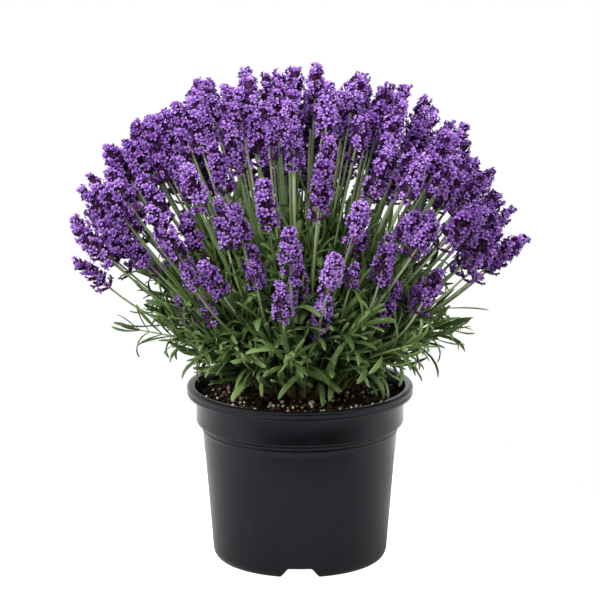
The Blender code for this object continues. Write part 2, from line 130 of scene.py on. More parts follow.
# Studio
CAMERA_PLACE = (0.0004, -2.5, 0.807)
CAMERA_AIM_HEIGHT = 0.2199
CAMERA_LENS = 184.8  # focal length in millimetres
WORLD_FRONT, WORLD_SIDES, WORLD_TOP = 0.05, 0.55, 0.4  # brightness that lights the plant
OPENING_AWAY = (-0.16, 0.93, 0.33)  # points away from the dark opening that the pot mirrors
OPENING_EDGE = (-0.92, -0.3)  # over which it brightens, as cosines to that direction
MIRROR_DARK, MIRROR_BRIGHT = 0.0, 1.25  # of the opening, and of all round it
FLOOR_RADIUS = 0.32
FLOOR_SINK = 0.0002  # keeps the floor's face clear of the pot's foot
FLOOR_COLOUR = "#bababa"
FLOOR_SIDES = 96
LAMP_AIM = (0, 0, 0.24)
LAMPS = (  # name, place, width and height, and power
    ("key_softbox", (-1.1, -1.5, 1.7), (1.2, 1.2), 68.0),
    ("fill_softbox", (1.5, -1.4, 0.9), (1.2, 1.4), 14.0),
    ("top_softbox", (0.0, 0.2, 2.0), (1.6, 1.6), 34.0),
    ("left_strip", (-1.5, 0.55, 0.5), (0.5, 1.6), 26.0),
    ("right_strip", (1.5, 0.55, 0.5), (0.5, 1.6), 14.3),
)


# ---------------------------------------------------------------- plan of the clump


@dataclass
class Branch:
    """A flowering branch from its seat on the crown to its fork."""

    seat: Vector
    heading: Vector
    fork: Vector


@dataclass
class Flower:
    """A flower stem from its branch's fork to its neck, and the spike above that."""

    branch: int
    stem: list  # points from the fork to the neck
    bend: Vector  # the control point of the stem's curve
    axis: Vector
    length: float
    radius: float

    def spike_point(self, share):
        return self.stem[-1] + self.axis * (share * self.length)

    def head(self):
        """The spike as a capsule."""
        return capsules([self.spike_point(0.2), self.spike_point(0.8)], self.radius)


class Occupied:
    """The capsules (start, end, radius) that shapes take up, for the clearance test."""

    def __init__(self):
        self.rows = np.empty((0, 7))
        self.owner = np.empty(0, int)
        self.base = np.empty(0, bool)  # the low part of a branch, which its own stems may touch

    def add(self, rows, owner, base=False):
        self.rows = np.vstack((self.rows, rows))
        self.owner = np.append(self.owner, [owner] * len(rows))
        self.base = np.append(self.base, [base] * len(rows))

    def clearance(self, rows, owner):
        """Least gap from these capsules to all but the base of their own branch."""
        others = self.rows[~((self.owner == owner) & self.base)]
        return least_gap(rows, others) if len(others) else 1.0


def capsules(points, radius):
    return np.array([(*a, *b, radius) for a, b in zip(points, points[1:])])


def least_gap(rows, others):
    """Least distance between two sets of capsules; negative where they overlap."""
    start, run = rows[:, None, 0:3], (rows[:, 3:6] - rows[:, 0:3])[:, None]
    far_start, far_run = others[None, :, 0:3], (others[:, 3:6] - others[:, 0:3])[None]
    between = start - far_start
    a, e = (run * run).sum(2), (far_run * far_run).sum(2)
    b, c, f = (run * far_run).sum(2), (run * between).sum(2), (far_run * between).sum(2)
    s = np.clip((b * f - c * e) / np.maximum(a * e - b * b, 1e-15), 0, 1)
    t = np.clip((b * s + f) / e, 0, 1)
    s = np.clip((b * t - c) / a, 0, 1)
    apart = np.linalg.norm(between + run * s[..., None] - far_run * t[..., None], axis=2)
    return float((apart - rows[:, None, 6] - others[None, :, 6]).min())


def disc_point(index, count):
    """Place number index of count, spread evenly over a disc of radius 1 by the golden angle."""
    radius = math.sqrt((index + 0.5) / count)
    return radius * math.cos(index * GOLDEN_ANGLE), radius * math.sin(index * GOLDEN_ANGLE)


def ring_point(index, count, inner):
    """Place number index of count, spread evenly over the ring outside a radius of inner."""
    radius = math.sqrt(inner**2 + (1 - inner**2) * (index + 0.5) / count)
    return radius * math.cos(index * GOLDEN_ANGLE), radius * math.sin(index * GOLDEN_ANGLE)


def heading_of(u, v):
    """The direction of a stem at that place of the disc: upright in the middle."""
    return Vector((math.tan(TILT[0] * u), math.tan(TILT[1] * v), 1)).normalized()


def dome_reach(heading):
    """Distance from the crown to the dome in that direction."""
    return sum((abs(h) / half) ** DOME_POWER for h, half in zip(heading, DOME)) ** (-1 / DOME_POWER)


def seat_at(index):
    """Seats spread over the crown. The inner ones flower, and the outermost are leafy."""
    u, v = disc_point(index, FLOWERING_BRANCHES + LEAFY_SHOOTS)
    seat = Vector((SEAT_SPREAD[0] * u, SEAT_SPREAD[1] * v, SOIL_TOP + SEAT_HEIGHT))
    return seat, heading_of(0.72 * u, 0.72 * v)


def plan_branches(occupied):
    branches = []
    for index in range(FLOWERING_BRANCHES):
        seat, heading = seat_at(index)
        fork = seat + heading * (0.020 + 0.005 * (index % 3))
        branches.append(Branch(seat, heading, fork))
        occupied.add(capsules([seat, fork], BRANCH_RADIUS), index, base=True)
    return branches


def nearest_branch(u, v):
    """The branch whose own place on the disc is nearest to that of a flower.

    The front branches reach back for some of theirs, since the front bears fewer.
    """
    v -= 0.25 * (1 - v * v)
    inner = math.sqrt(FLOWERING_BRANCHES / (FLOWERING_BRANCHES + LEAFY_SHOOTS))
    places = [disc_point(i, FLOWERING_BRANCHES + LEAFY_SHOOTS) for i in range(FLOWERING_BRANCHES)]
    return min(
        range(FLOWERING_BRANCHES),
        key=lambda i: (places[i][0] / inner - u) ** 2 + (places[i][1] / inner - v) ** 2,
    )


def curve_point(start, bend, end, share):
    return start * (1 - share) ** 2 + bend * (2 * share * (1 - share)) + end * share**2


def draw_flower(rng, place, branches, short, attempt):
    """One try at a flower near a place on the disc; later tries stray further from it."""
    stray = 0.015 + 0.003 * attempt
    u = place[0] + rng.uniform(-stray, stray)
    v = place[1] + rng.uniform(-stray, stray)
    size = max(1, math.hypot(u, v))
    heading = heading_of(u / size, v / size)
    branch = nearest_branch(*place)
    if short:
        reach = dome_reach(heading) * rng.uniform(0.52, 0.80)
        upright, scale = rng.uniform(0.25, 0.5), rng.choice((0.6, 0.85, 0.95, 1.0))
    else:
        reach = dome_reach(heading) * (1 - rng.uniform(0.0, SHELL_DEPTH + 0.003 * attempt))
        upright, scale = rng.uniform(0.0, 0.18), rng.uniform(0.84, 1.14)
    axis = (heading * (1 - upright) + UP * upright).normalized()
    length = SPIKE_LENGTH * scale
    radius = SPIKE_RADIUS * (0.3 + 0.7 * min(scale, 1.0)) * rng.uniform(0.93, 1.0)
    neck = Vector((*DOME_CENTRE, SOIL_TOP)) + heading * reach - axis * length
    start = branches[branch].fork
    aside = neck - start
    aside -= branches[branch].heading * aside.dot(branches[branch].heading)
    start = start + aside * (FORK_SPREAD / max(aside.length, 0.03))
    bend = neck - axis * (0.45 * (neck - start).length)
    stem = [start, curve_point(start, bend, neck, 0.45), neck]
    return Flower(branch, stem, bend, axis, length, radius)


def front_room(v):
    """The gap that a spike at that depth of the disc keeps from the others."""
    return max(CLEARANCE, FRONT_ROOM * (0.25 - v) / 1.25)


def plan_flowers(branches, occupied):
    """Every flower, each moved about its place on the disc until it clears the others."""
    rng = random.Random(PLANT_SEED)
    plan = [(disc_point(i, TALL_FLOWERS), False) for i in range(TALL_FLOWERS)]
    plan += [(ring_point(i, SHORT_FLOWERS, 0.6), True) for i in range(SHORT_FLOWERS)]
    flowers = []
    heads = np.empty((0, 7))
    for place, short in plan:
        for attempt in range(40):
            flower = draw_flower(rng, place, branches, short, attempt)
            low = capsules(flower.stem[:2], STEM_RADIUS)
            high = capsules(flower.stem[1:], STEM_RADIUS)
            head = flower.head()
            if len(heads) and least_gap(head, heads) < front_room(place[1]):
                continue
            if min(occupied.clearance(rows, flower.branch) for rows in (head, high, low)) >= CLEARANCE:
                occupied.add(low, flower.branch, base=True)
                occupied.add(np.vstack((high, head)), flower.branch)
                heads = np.vstack((heads, head))
                flowers.append(flower)
                break
    return flowers


@dataclass
class Leaf:
    """A blade from its base on the shoot, through a middle point, to its tip."""

    points: list
    side: Vector  # across the blade
    width: float


@dataclass
class Shoot:
    """A leafy shoot: its stem from its seat to its tip, and its leaves."""

    stem: list
    leaves: list


def draw_leaf(rng, shoot, level, turn):
    """A leaf at that share of the shoot's length, turned about it by that angle."""
    count = len(shoot.stem) - 1
    step = min(int(level * count), count - 1)
    base = shoot.stem[step].lerp(shoot.stem[step + 1], level * count - step)
    along = (shoot.stem[step + 1] - shoot.stem[step]).normalized()
    out = along.orthogonal().normalized()
    out = out * math.cos(turn) + along.cross(out) * math.sin(turn)
    lean = rng.uniform(0.55, 0.95) * (1.15 - 0.55 * level)
    low = (along * math.cos(lean) + out * math.sin(lean)).normalized()
    high = (low + along * 0.35 + UP * rng.uniform(-0.15, 0.25)).normalized()
    length = LEAF_LENGTH * rng.uniform(0.8, 1.15) * (1 - 0.35 * level)
    base = base + low * 0.0004
    middle = base + low * (0.5 * length)
    tip = middle + high * (0.5 * length)
    return Leaf([base, middle, tip], along.cross(low).normalized(), LEAF_HALF_WIDTH)


def plan_shoots(occupied):
    """The leafy shoots, whose leaves are turned or left out until they clear the rest."""
    rng = random.Random(PLANT_SEED + 1)
    shoots = []
    for index in range(FLOWERING_BRANCHES, FLOWERING_BRANCHES + LEAFY_SHOOTS):
        seat, heading = seat_at(index)
        for attempt in range(200):
            length = rng.uniform(*SHOOT_LENGTH) * (1 - 0.002 * attempt)
            sway = Vector((rng.uniform(-0.25, 0.25), rng.uniform(-0.25, 0.25), -SHOOT_DROOP))
            aim = (heading + sway).normalized()
            tip = seat + aim * length
            bend = seat + heading * (0.35 * length)
            stem = [curve_point(seat, bend, tip, share) for share in (0, 0.35, 0.68, 1)]
            rows = capsules(stem, BRANCH_RADIUS)
            if occupied.clearance(rows, index) >= CLEARANCE:
                break
        else:
            raise ValueError(f"leafy shoot {index} has no clear place")
        shoot = Shoot(stem, [])
        occupied.add(rows, index, base=True)
        for pair in range(LEAF_PAIRS):
            for side in (0, 1):
                for attempt in range(12):
                    level = 0.12 + 0.82 * pair / (LEAF_PAIRS - 1) + 0.02 * side
                    turn = pair * math.pi / 2 + side * math.pi + rng.uniform(-0.12, 0.12) * attempt
                    leaf = draw_leaf(rng, shoot, level, turn)
                    rows = capsules(leaf.points, leaf.width * 0.8)
                    rows[0, :3] += 0.25 * (rows[0, 3:6] - rows[0, :3])
                    if occupied.clearance(rows, index) >= CLEARANCE:
                        shoot.leaves.append(leaf)
                        occupied.add(rows, index)
                        break
        shoots.append(shoot)
    return shoots


# ---------------------------------------------------------------- workshop helpers


def linear(colour):
    """An sRGB hex colour as linear red, green, blue and alpha."""
    parts = [int(colour[i : i + 2], 16) / 255 for i in (1, 3, 5)]
    return (*[c / 12.92 if c <= 0.04045 else ((c + 0.055) / 1.055) ** 2.4 for c in parts], 1)


def plug(tree, target, inputs):
    """Gives a node's inputs, by name or number, a value or another node's socket."""
    for name, value in inputs.items():
        if isinstance(value, bpy.types.NodeSocket):
            tree.links.new(value, target.inputs[name])
        else:
            target.inputs[name].default_value = value


def node(tree, kind, inputs=None, stops=(), **settings):
    """Adds a node with its settings and inputs. A colour ramp is also given its stops, each a
    position and a hex colour."""
    made = tree.nodes.new(kind)
    for name, value in settings.items():
        setattr(made, name, value)
    plug(tree, made, inputs or {})
    for _ in stops[2:]:  # a new ramp has two
        made.color_ramp.elements.new(1.0)
    for number, (position, colour) in enumerate(stops):
        made.color_ramp.elements[number].position = position
        made.color_ramp.elements[number].color = linear(colour)
    return made


def blank_material(name):
    """A new material, its tree and its Principled shader."""
    material = bpy.data.materials.new(name)
    material.use_nodes = True
    return material, material.node_tree, material.node_tree.nodes["Principled BSDF"]


def add_object(name, data):
    made = bpy.data.objects.new(name, data)
    bpy.context.scene.collection.objects.link(made)
    return made


def mesh_of(name, corners, faces, smooth=True):
    mesh = bpy.data.meshes.new(name)
    mesh.from_pydata([tuple(c) for c in corners], [], faces)
    mesh.update()
    if smooth:
        mesh.shade_smooth()
    return mesh


def mesh_from(name, shape):
    """A mesh of a shape that was made face by face, which is then freed."""
    mesh = bpy.data.meshes.new(name)
    shape.to_mesh(mesh)
    shape.free()
    return mesh


def tidy_normals(mesh):
    """Merges doubles and turns every closed shell's faces outwards."""
    shape = bmesh.new()
    shape.from_mesh(mesh)
    bmesh.ops.remove_doubles(shape, verts=shape.verts, dist=MERGE_DISTANCE)
    bmesh.ops.recalc_face_normals(shape, faces=shape.faces)
    shape.to_mesh(mesh)
    shape.free()
    return mesh


def settle(obj):
    """Turns an object and its modifiers into a plain mesh of the same name."""
    bpy.context.view_layer.update()
    evaluated = obj.evaluated_get(bpy.context.evaluated_depsgraph_get())
    name, mesh = obj.name, bpy.data.meshes.new_from_object(evaluated)
    bpy.data.objects.remove(obj, do_unlink=True)
    mesh.name = name
    return add_object(name, mesh)


def finish_piece(obj, slot, *nodes):
    """The piece rides on the one body and stands for its CAD nodes, which are hidden. Its slot is not
    used.
    """
    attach(obj, "root")
    if nodes:
        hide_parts(*nodes)


def numbered(name, indices):
    """The CAD nodes of that name, which are numbered from 01."""
    return [f"{name}_{index + 1:02d}" for index in indices]


def leaned(along, out, angle):
    """A direction, leaned over towards another at right angles to it."""
    return along * math.cos(angle) + out * math.sin(angle)


# ---------------------------------------------------------------- attributes of grown things

POINT_VALUES = ("shade", "along", "athwart")  # each from 0 to 1, and read by the finishes


def set_attribute(mesh, name, kind, values):
    attribute = mesh.attributes.new(name, kind, "POINT")
    field = "vector" if kind == "FLOAT_VECTOR" else "value"
    attribute.data.foreach_set(field, np.asarray(values).ravel())


def point_values(mesh, **values):
    for name, numbers in values.items():
        set_attribute(mesh, name, "FLOAT", np.array(numbers, np.float32))


def paint_map(mesh):
    """Lays out a grown piece's map: u is the strip of its shade, with the place across the blade
    inside the strip, and v is the place along it."""
    values = {}
    for name in POINT_VALUES:
        values[name] = np.full(len(mesh.vertices), 0.5, np.float32)
        if name in mesh.attributes:
            mesh.attributes[name].data.foreach_get("value", values[name])
    strip = np.minimum(np.floor(values["shade"] * SHADE_BANDS), SHADE_BANDS - 1)
    u = (strip + STRIP_EDGE + (1 - 2 * STRIP_EDGE) * values["athwart"]) / SHADE_BANDS
    v = MAP_EDGE + (1 - 2 * MAP_EDGE) * values["along"]
    corner = np.empty(len(mesh.loops), np.int32)
    mesh.loops.foreach_get("vertex_index", corner)
    layer = mesh.uv_layers.new(name=MAP_NAME)
    layer.data.foreach_set("uv", np.stack((u[corner], v[corner]), 1).astype(np.float32).ravel())
    for name in (*POINT_VALUES, "turn", "size", "kind", "thickness"):
        if name in mesh.attributes:
            mesh.attributes.remove(mesh.attributes[name])


def map_sockets(tree):
    """The shade, the place across and the place along, read back from a grown piece's map."""
    uv = node(tree, "ShaderNodeUVMap", uv_map=MAP_NAME).outputs["UV"]
    split = node(tree, "ShaderNodeSeparateXYZ", {"Vector": uv}).outputs
    times = {0: split["X"], 1: float(SHADE_BANDS)}
    strips = node(tree, "ShaderNodeMath", times, operation="MULTIPLY").outputs[0]
    strip = node(tree, "ShaderNodeMath", {0: strips}, operation="FLOOR").outputs[0]
    shade = node(tree, "ShaderNodeMath", {0: strip, 1: SHADE_BANDS - 1.0}, operation="DIVIDE")
    across = node(tree, "ShaderNodeMath", {0: strips, 1: strip}, operation="SUBTRACT")
    return shade.outputs[0], across.outputs[0], split["Y"]


# ---------------------------------------------------------------- trees that repeat shapes


def open_tree(name, **inputs):
    """A Geometry Nodes tree with these named inputs, and the sockets they come in by."""
    tree = bpy.data.node_groups.new(name, "GeometryNodeTree")
    for label, kind in {"Geometry": "Geometry", **inputs}.items():
        tree.interface.new_socket(label, in_out="INPUT", socket_type="NodeSocket" + kind)
    tree.interface.new_socket("Geometry", in_out="OUTPUT", socket_type="NodeSocketGeometry")
    return tree, node(tree, "NodeGroupInput").outputs


def close_tree(tree, geometry, finish):
    """Ends a tree: instances are made real, and the finish is set."""
    real = node(tree, "GeometryNodeRealizeInstances", {"Geometry": geometry}).outputs["Geometry"]
    dressed = node(tree, "GeometryNodeSetMaterial", {"Geometry": real, "Material": finish})
    node(tree, "NodeGroupOutput", {"Geometry": dressed.outputs["Geometry"]})


def growth_tree():
    """Sets one of a collection's shapes on every point, by the point's kind, turn and size."""
    tree, source = open_tree("growth", Shapes="Collection", Finish="Material")
    point = {}
    for name, kind in (("kind", "INT"), ("turn", "QUATERNION"), ("size", "FLOAT_VECTOR")):
        read = node(tree, "GeometryNodeInputNamedAttribute", {"Name": name}, data_type=kind)
        point[name] = read.outputs["Attribute"]
    shapes = node(
        tree,
        "GeometryNodeCollectionInfo",
        {"Collection": source["Shapes"], "Separate Children": True, "Reset Children": True},
    )
    placed = node(
        tree,
        "GeometryNodeInstanceOnPoints",
        {
            "Points": source["Geometry"],
            "Instance": shapes.outputs["Instances"],
            "Pick Instance": True,
            "Instance Index": point["kind"],
            "Rotation": point["turn"],
            "Scale": point["size"],
        },
    )
    close_tree(tree, placed.outputs["Instances"], source["Finish"])
    return tree


def stalk_tree():
    """Sweeps a round section along every line, as thick as its points say."""
    tree, source = open_tree("stalks", Sides="Int", Finish="Material")
    line = node(tree, "GeometryNodeMeshToCurve", {"Mesh": source["Geometry"]})
    thick = node(tree, "GeometryNodeInputNamedAttribute", {"Name": "thickness"}, data_type="FLOAT")
    circle = {"Resolution": source["Sides"], "Radius": 1.0}
    section = node(tree, "GeometryNodeCurvePrimitiveCircle", circle)
    sweep = node(
        tree,
        "GeometryNodeCurveToMesh",
        {
            "Curve": line.outputs["Curve"],
            "Profile Curve": section.outputs["Curve"],
            "Scale": thick.outputs["Attribute"],
            "Fill Caps": True,
        },
    )
    smooth = node(tree, "GeometryNodeSetShadeSmooth", {"Geometry": sweep.outputs["Mesh"]})
    close_tree(tree, smooth.outputs["Geometry"], source["Finish"])
    return tree


def run_tree(name, mesh, tree, **values):
    """The plain, mapped mesh that a tree makes from points or lines. Its inputs are set by
    identifier."""
    obj = add_object(name, mesh)
    modifier = obj.modifiers.new(tree.name, "NODES")
    modifier.node_group = tree
    for item in tree.interface.items_tree:
        if item.item_type == "SOCKET" and item.in_out == "INPUT" and item.name in values:
            modifier[item.identifier] = values[item.name]
    obj = settle(obj)
    paint_map(obj.data)
    return obj


@dataclass
class Growth:
    """Where a small shape grows: its foot, its turn, its size, its kind and its shade."""

    place: Vector
    turn: Quaternion
    size: float
    kind: int
    shade: float
    breadth: float = 1.0


def grow(name, growths, shapes, tree, finish):
    """One plain mesh of a shape at every growth."""
    mesh = bpy.data.meshes.new(name)
    mesh.from_pydata([tuple(g.place) for g in growths], [], [])
    sizes = [(g.size * g.breadth, g.size * g.breadth, g.size) for g in growths]
    set_attribute(mesh, "turn", "QUATERNION", np.array([tuple(g.turn) for g in growths], np.float32))
    set_attribute(mesh, "size", "FLOAT_VECTOR", np.array(sizes, np.float32))
    set_attribute(mesh, "kind", "INT", np.array([g.kind for g in growths], np.int32))
    point_values(mesh, shade=[g.shade for g in growths])
    return run_tree(name, mesh, tree, Shapes=shapes, Finish=finish)


def draw_stalks(name, stalks, sides, tree, finish):
    """One plain mesh of tubes. A stalk is its points, its thickness at each, and a shade."""
    corners, lines, thickness, along, shade = [], [], [], [], []
    for points, widths, tone in stalks:
        first, last = len(corners), len(points) - 1
        corners += [tuple(p) for p in points]
        lines += [(first + i, first + i + 1) for i in range(last)]
        thickness += widths
        along += [i / last for i in range(last + 1)]
        shade += [tone] * len(points)
    mesh = bpy.data.meshes.new(name)
    mesh.from_pydata(corners, lines, [])
    point_values(mesh, thickness=thickness, along=along, shade=shade)
    return run_tree(name, mesh, tree, Sides=sides, Finish=finish)


def shape_collection(name, meshes):
    """The shapes that a growth picks from, kept out of the scene. Names sort in their order."""
    collection = bpy.data.collections.new(name)
    for number, mesh in enumerate(meshes):
        collection.objects.link(bpy.data.objects.new(f"{name}_{number:02d}", mesh))
    return collection


# ---------------------------------------------------------------- small shapes of the plant

LEAF_OUTLINE = (  # share of the length, and share of the greatest width there
    (0.0, 0.26), (0.14, 0.44), (0.32, 0.72), (0.52, 0.93),
    (0.72, 1.0), (0.87, 0.86), (0.96, 0.52), (1.0, 0.16),
)
LEAF_FORMS = (  # name, bend, curl, fold and twist
    ("straight_blade", 0.25, 0.15, 0.30, 0.2),
    ("arched_blade", 0.55, 0.60, 0.26, -0.3),
    ("drooping_blade", 0.95, 0.70, 0.22, 0.25),
    ("upswept_blade", -0.55, -0.45, 0.34, 0.3),
    ("wavy_blade", 0.75, -1.10, 0.26, -0.6),
)
UPSWEPT = 3  # the form that turns up
BLADE_HALF_WIDTH = 0.066  # for a blade of unit length
BLADE_THICKNESS = 0.011

# Floret: rings of (height, radius, place along its colours), for the calyx, a closed bud's
# shoulder, and the tube of an open one.
CALYX = (
    (0.0, 0.00050, 0.0), (0.0014, 0.00105, 0.15), (0.0044, 0.00128, 0.36), (0.0056, 0.00090, 0.46),
)
CALYX_SIDES = 6
BUD_SHOULDER = (0.0066, 0.00062, 0.56)
BUD_TIP = (0.0074, 0.64)  # height, and place along the colours
TUBE = ((0.0046, 0.00060, 0.52), (0.0070, 0.00100, 0.66))
LOBES = 5
LOBE_COLOURS = (0.84, 1.0)  # places along the colours, halfway out and at the tip
UPPER_LOBE, LOWER_LOBE = 1.3, 0.85  # their sizes, as a share of the floret's lobe size
LOBE_HALF_WIDTH = 0.42  # as a share of its size
LOBE_NARROWING = 0.6  # the tip's width, as a share of that
LOBE_CURL = 0.7  # angle between its two halves
FLORET_FORMS = (  # name, opening of the upper and lower lobes in degrees, lobe size, and seed
    ("open_floret", 28, 66, 0.0027, 1),
    ("wide_floret", 45, 82, 0.0025, 2),
    ("half_open_floret", 18, 40, 0.0024, 3),
    ("young_floret", 8, 16, 0.0017, 4),
    ("floret_bud", 0, 0, 0, 0),
)
FLORET_SHARES = (0.26, 0.48, 0.68, 0.80, 1.0)  # running share of the florets, form by form


def leaf_centre_line(bend, curl):
    """Points along a blade's midrib at its stations, with the direction and the normal there."""
    stations, centre, before = [], Vector((0, 0, 0)), 0.0
    for share, width in LEAF_OUTLINE:
        lean = bend * share + curl * share**3
        forward = Vector((0, -math.sin(lean), math.cos(lean)))
        normal = Vector((0, math.cos(lean), math.sin(lean)))
        centre = centre + forward * (share - before)
        before = share
        stations.append((share, width, centre, forward, normal))
    return stations


def leaf_shape(name, bend, curl, fold, twist):
    """A lavender blade of unit length from the origin along +Z, its upper face to +Y. It broadens
    to past the middle, ends round, and is grooved along the midrib. bend leans it back from its
    foot on, curl does so towards the tip, and both are angles, as is twist. fold is how far its
    edges stand up, as a share of its half width."""
    corners, along, athwart, faces = [], [], [], []
    for share, width, centre, forward, normal in leaf_centre_line(bend, curl):
        side = Quaternion(forward, twist * share) @ Vector((1, 0, 0))
        normal = Quaternion(forward, twist * share) @ normal
        half = BLADE_HALF_WIDTH * width
        corners += [
            centre - side * half + normal * fold * half,
            centre + normal * BLADE_THICKNESS * 0.3,
            centre + side * half + normal * fold * half,
            centre - normal * BLADE_THICKNESS * (0.5 + width),
        ]
        along += [share] * 4
        athwart += [0.0, 1.0, 0.0, 0.5]  # edge, midrib, edge, and the rib below
    last = 4 * (len(LEAF_OUTLINE) - 1)
    for level in range(0, last, 4):
        join_rings(faces, level, level + 4, 4)
    faces += [(0, 3, 2, 1), (last, last + 1, last + 2, last + 3)]
    mesh = mesh_of(name, corners, faces)
    point_values(mesh, along=along, athwart=athwart)
    return tidy_normals(mesh)


def ring_corners(height, radius, sides, turn=0.0):
    angles = [turn + 2 * math.pi * i / sides for i in range(sides)]
    return [Vector((radius * math.cos(a), radius * math.sin(a), height)) for a in angles]


def join_rings(faces, low, high, sides):
    for i in range(sides):
        j = (i + 1) % sides
        faces.append((low + i, low + j, high + j, high + i))


def add_tube(shape, rings, sides, turn=0.0):
    """Adds rings and the wall between them to a shape: its corners, colour places and faces."""
    corners, along, faces = shape
    for number, (height, radius, colour_place) in enumerate(rings):
        corners += ring_corners(height, radius, sides, turn)
        along += [colour_place] * sides
        if number > 0:
            join_rings(faces, len(corners) - 2 * sides, len(corners) - sides, sides)


def add_lobe(shape, a, b, upper, lower, lobe, rng):
    """Adds a crumpled lobe on the throat's edge from corner a to corner b: one face that opens,
    and one that curls on from it."""
    corners, along, faces = shape
    middle = (corners[a] + corners[b]) / 2
    out = Vector((middle.x, middle.y, 0)).normalized()
    above = out.y > 0.2
    angle = (upper if above else lower) * rng.uniform(0.75, 1.25)
    size = lobe * (UPPER_LOBE if above else LOWER_LOBE) * rng.uniform(0.85, 1.15)
    half = middle + leaned(UP, out, angle) * (0.55 * size)
    tip = half + leaned(UP, out, angle + LOBE_CURL) * (0.5 * size * rng.uniform(0.7, 1.2))
    side = UP.cross(out) * (LOBE_HALF_WIDTH * size)
    crumple = leaned(out, -UP, angle) * size
    first = len(corners)
    for centre, width, spread in ((half, 1, 0.22), (tip, LOBE_NARROWING, 0.25)):
        for sign in (-1, 1):
            corners.append(centre + side * (sign * width) + crumple * rng.uniform(-spread, spread))
    along += [LOBE_COLOURS[0]] * 2 + [LOBE_COLOURS[1]] * 2
    faces += [(a, b, first + 1, first), (first, first + 1, first + 3, first + 2)]


def floret_shape(name, upper, lower, lobe, seed):
    """A floret along +Z, its upper lip to +Y: a ribbed calyx, and out of it a short tube that
    splits into two upper and three lower lobes, which open by these angles in degrees and are
    crumpled. With no lobe it is a bud."""
    shape = corners, along, faces = [], [], []
    rng = random.Random(seed)
    add_tube(shape, CALYX if lobe else (*CALYX, BUD_SHOULDER), CALYX_SIDES)
    faces.append(tuple(range(CALYX_SIDES))[::-1])
    top = len(corners) - CALYX_SIDES
    if lobe:
        faces.append(tuple(range(top, len(corners))))
        add_tube(shape, TUBE, LOBES, math.pi / 2)
        throat = len(corners) - LOBES
        for i in range(LOBES):
            edge = throat + i, throat + (i + 1) % LOBES
            add_lobe(shape, *edge, math.radians(upper), math.radians(lower), lobe, rng)
    else:
        corners.append(Vector((0, 0, BUD_TIP[0])))
        along.append(BUD_TIP[1])
        tip = len(corners) - 1
        faces += [(top + i, top + (i + 1) % CALYX_SIDES, tip) for i in range(CALYX_SIDES)]
    mesh = mesh_of(name, corners, faces)
    point_values(mesh, along=along)
    return mesh


# ---------------------------------------------------------------- how the plant grows

WHORL_GAP = 0.0062
SPIKE_TIP_ROOM = 0.0065  # the top whorl's florets fill this much at the spike's end
WHORL_FLORETS = 8
END_FLORETS = 6  # in the lowest and the top whorl
CLUSTER_FAN = 2.4  # angle over which each half of a whorl spreads
APART_SHARE = 0.45  # of the spikes have their lowest whorl set apart
APART_LENGTH = 0.034  # a shorter spike has none set apart
APART_FLORETS = 5
APART_DROP = 0.002  # how far below the spike's foot such a whorl stands
APART_GAP = 0.16  # how much of the spike above it is bare
FLORET_LEAN = (60, 22, 20)  # degrees from the spike: lowest, nearly at the top, and at the top
FLORET_JITTER = 0.22  # by which each floret's angles stray


@dataclass
class Foliage:
    """How leaves sit on a stem: the gap between pairs, the share of the stem below the first,
    the length and the opening of the lowest leaves, how much they hang, and their breadth."""

    gap: float
    start: float
    length: float
    opening: float
    hang: float
    breadth: float


SHOOT_FOLIAGE = Foliage(0.0098, 0.20, 0.043, math.radians(46), 0.05, 1.0)
STALK_FOLIAGE = Foliage(0.0125, 0.06, 0.044, math.radians(28), 0.0, 0.85)
STALK_LEAFY = (0.42, 0.70)  # the leafy share of a flower's stalk
TIP_LEAVES = 4  # at a shoot's tip
TIP_LEAF_LENGTH = (0.018, 0.028)


def turn_to(along, upper):
    """The turn that lays +Z along a direction, with +Y as near as may be to another."""
    z = along.normalized()
    x = upper.cross(z)
    if x.length < 1e-6:  # the two are parallel
        x = z.orthogonal()
    x.normalize()
    return Matrix((x, z.cross(x), z)).transposed().to_quaternion()


def shade_near(shade, spread, rng):
    """A shade that strays from another and stays from 0 to 1."""
    return min(max(shade + rng.uniform(-spread, spread), 0.0), 0.999)


def florets_of(flower, rng):
    """Florets in whorls up a spike: two facing clusters to a whorl, crossed from one whorl to the
    next, with the lowest whorl often set apart."""
    growths = []
    shade = rng.uniform(0.15, 0.85)
    apart = rng.random() < APART_SHARE and flower.length > APART_LENGTH
    top = max(3, round(flower.length / WHORL_GAP)) - 1
    side = flower.axis.orthogonal().normalized()
    low_lean, high_lean, top_lean = FLORET_LEAN
    for level in range(top + 1):
        share = level / top
        rise = share
        plump = math.sin(math.pi * (0.22 + 0.66 * share)) ** 0.6
        count = END_FLORETS if level in (0, top) else WHORL_FLORETS
        if apart:
            rise = APART_GAP + (1 - APART_GAP) * share
        height = rise * (flower.length - SPIKE_TIP_ROOM)
        if apart and level == 0:
            height, count, plump = -APART_DROP, APART_FLORETS, 0.8 * plump
        lean = top_lean if level == top else low_lean - (low_lean - high_lean) * share**1.3
        whorl_turn = level * math.pi / 2 + rng.uniform(-0.3, 0.3)
        pairs = count // 2
        for number in range(count):
            fan = (number // 2 - (pairs - 1) / 2) * CLUSTER_FAN / pairs
            turn = whorl_turn + number % 2 * math.pi + fan
            turn += rng.uniform(-FLORET_JITTER, FLORET_JITTER)
            out = Quaternion(flower.axis, turn) @ side
            tilt = math.radians(lean) + rng.uniform(-FLORET_JITTER, FLORET_JITTER)
            aim = leaned(flower.axis, out, tilt)
            foot = flower.spike_point(0) + flower.axis * (height + rng.uniform(-0.0012, 0.0012))
            foot += out * 0.0009
            form = rng.choices(range(len(FLORET_FORMS)), cum_weights=FLORET_SHARES)[0]
            size = flower.radius / SPIKE_RADIUS * (0.86 + 0.34 * plump) * rng.uniform(0.86, 1.16)
            tone = shade_near(shade, 0.3, rng)
            growths.append(Growth(foot, turn_to(aim, flower.axis), size, form, tone))
    return growths


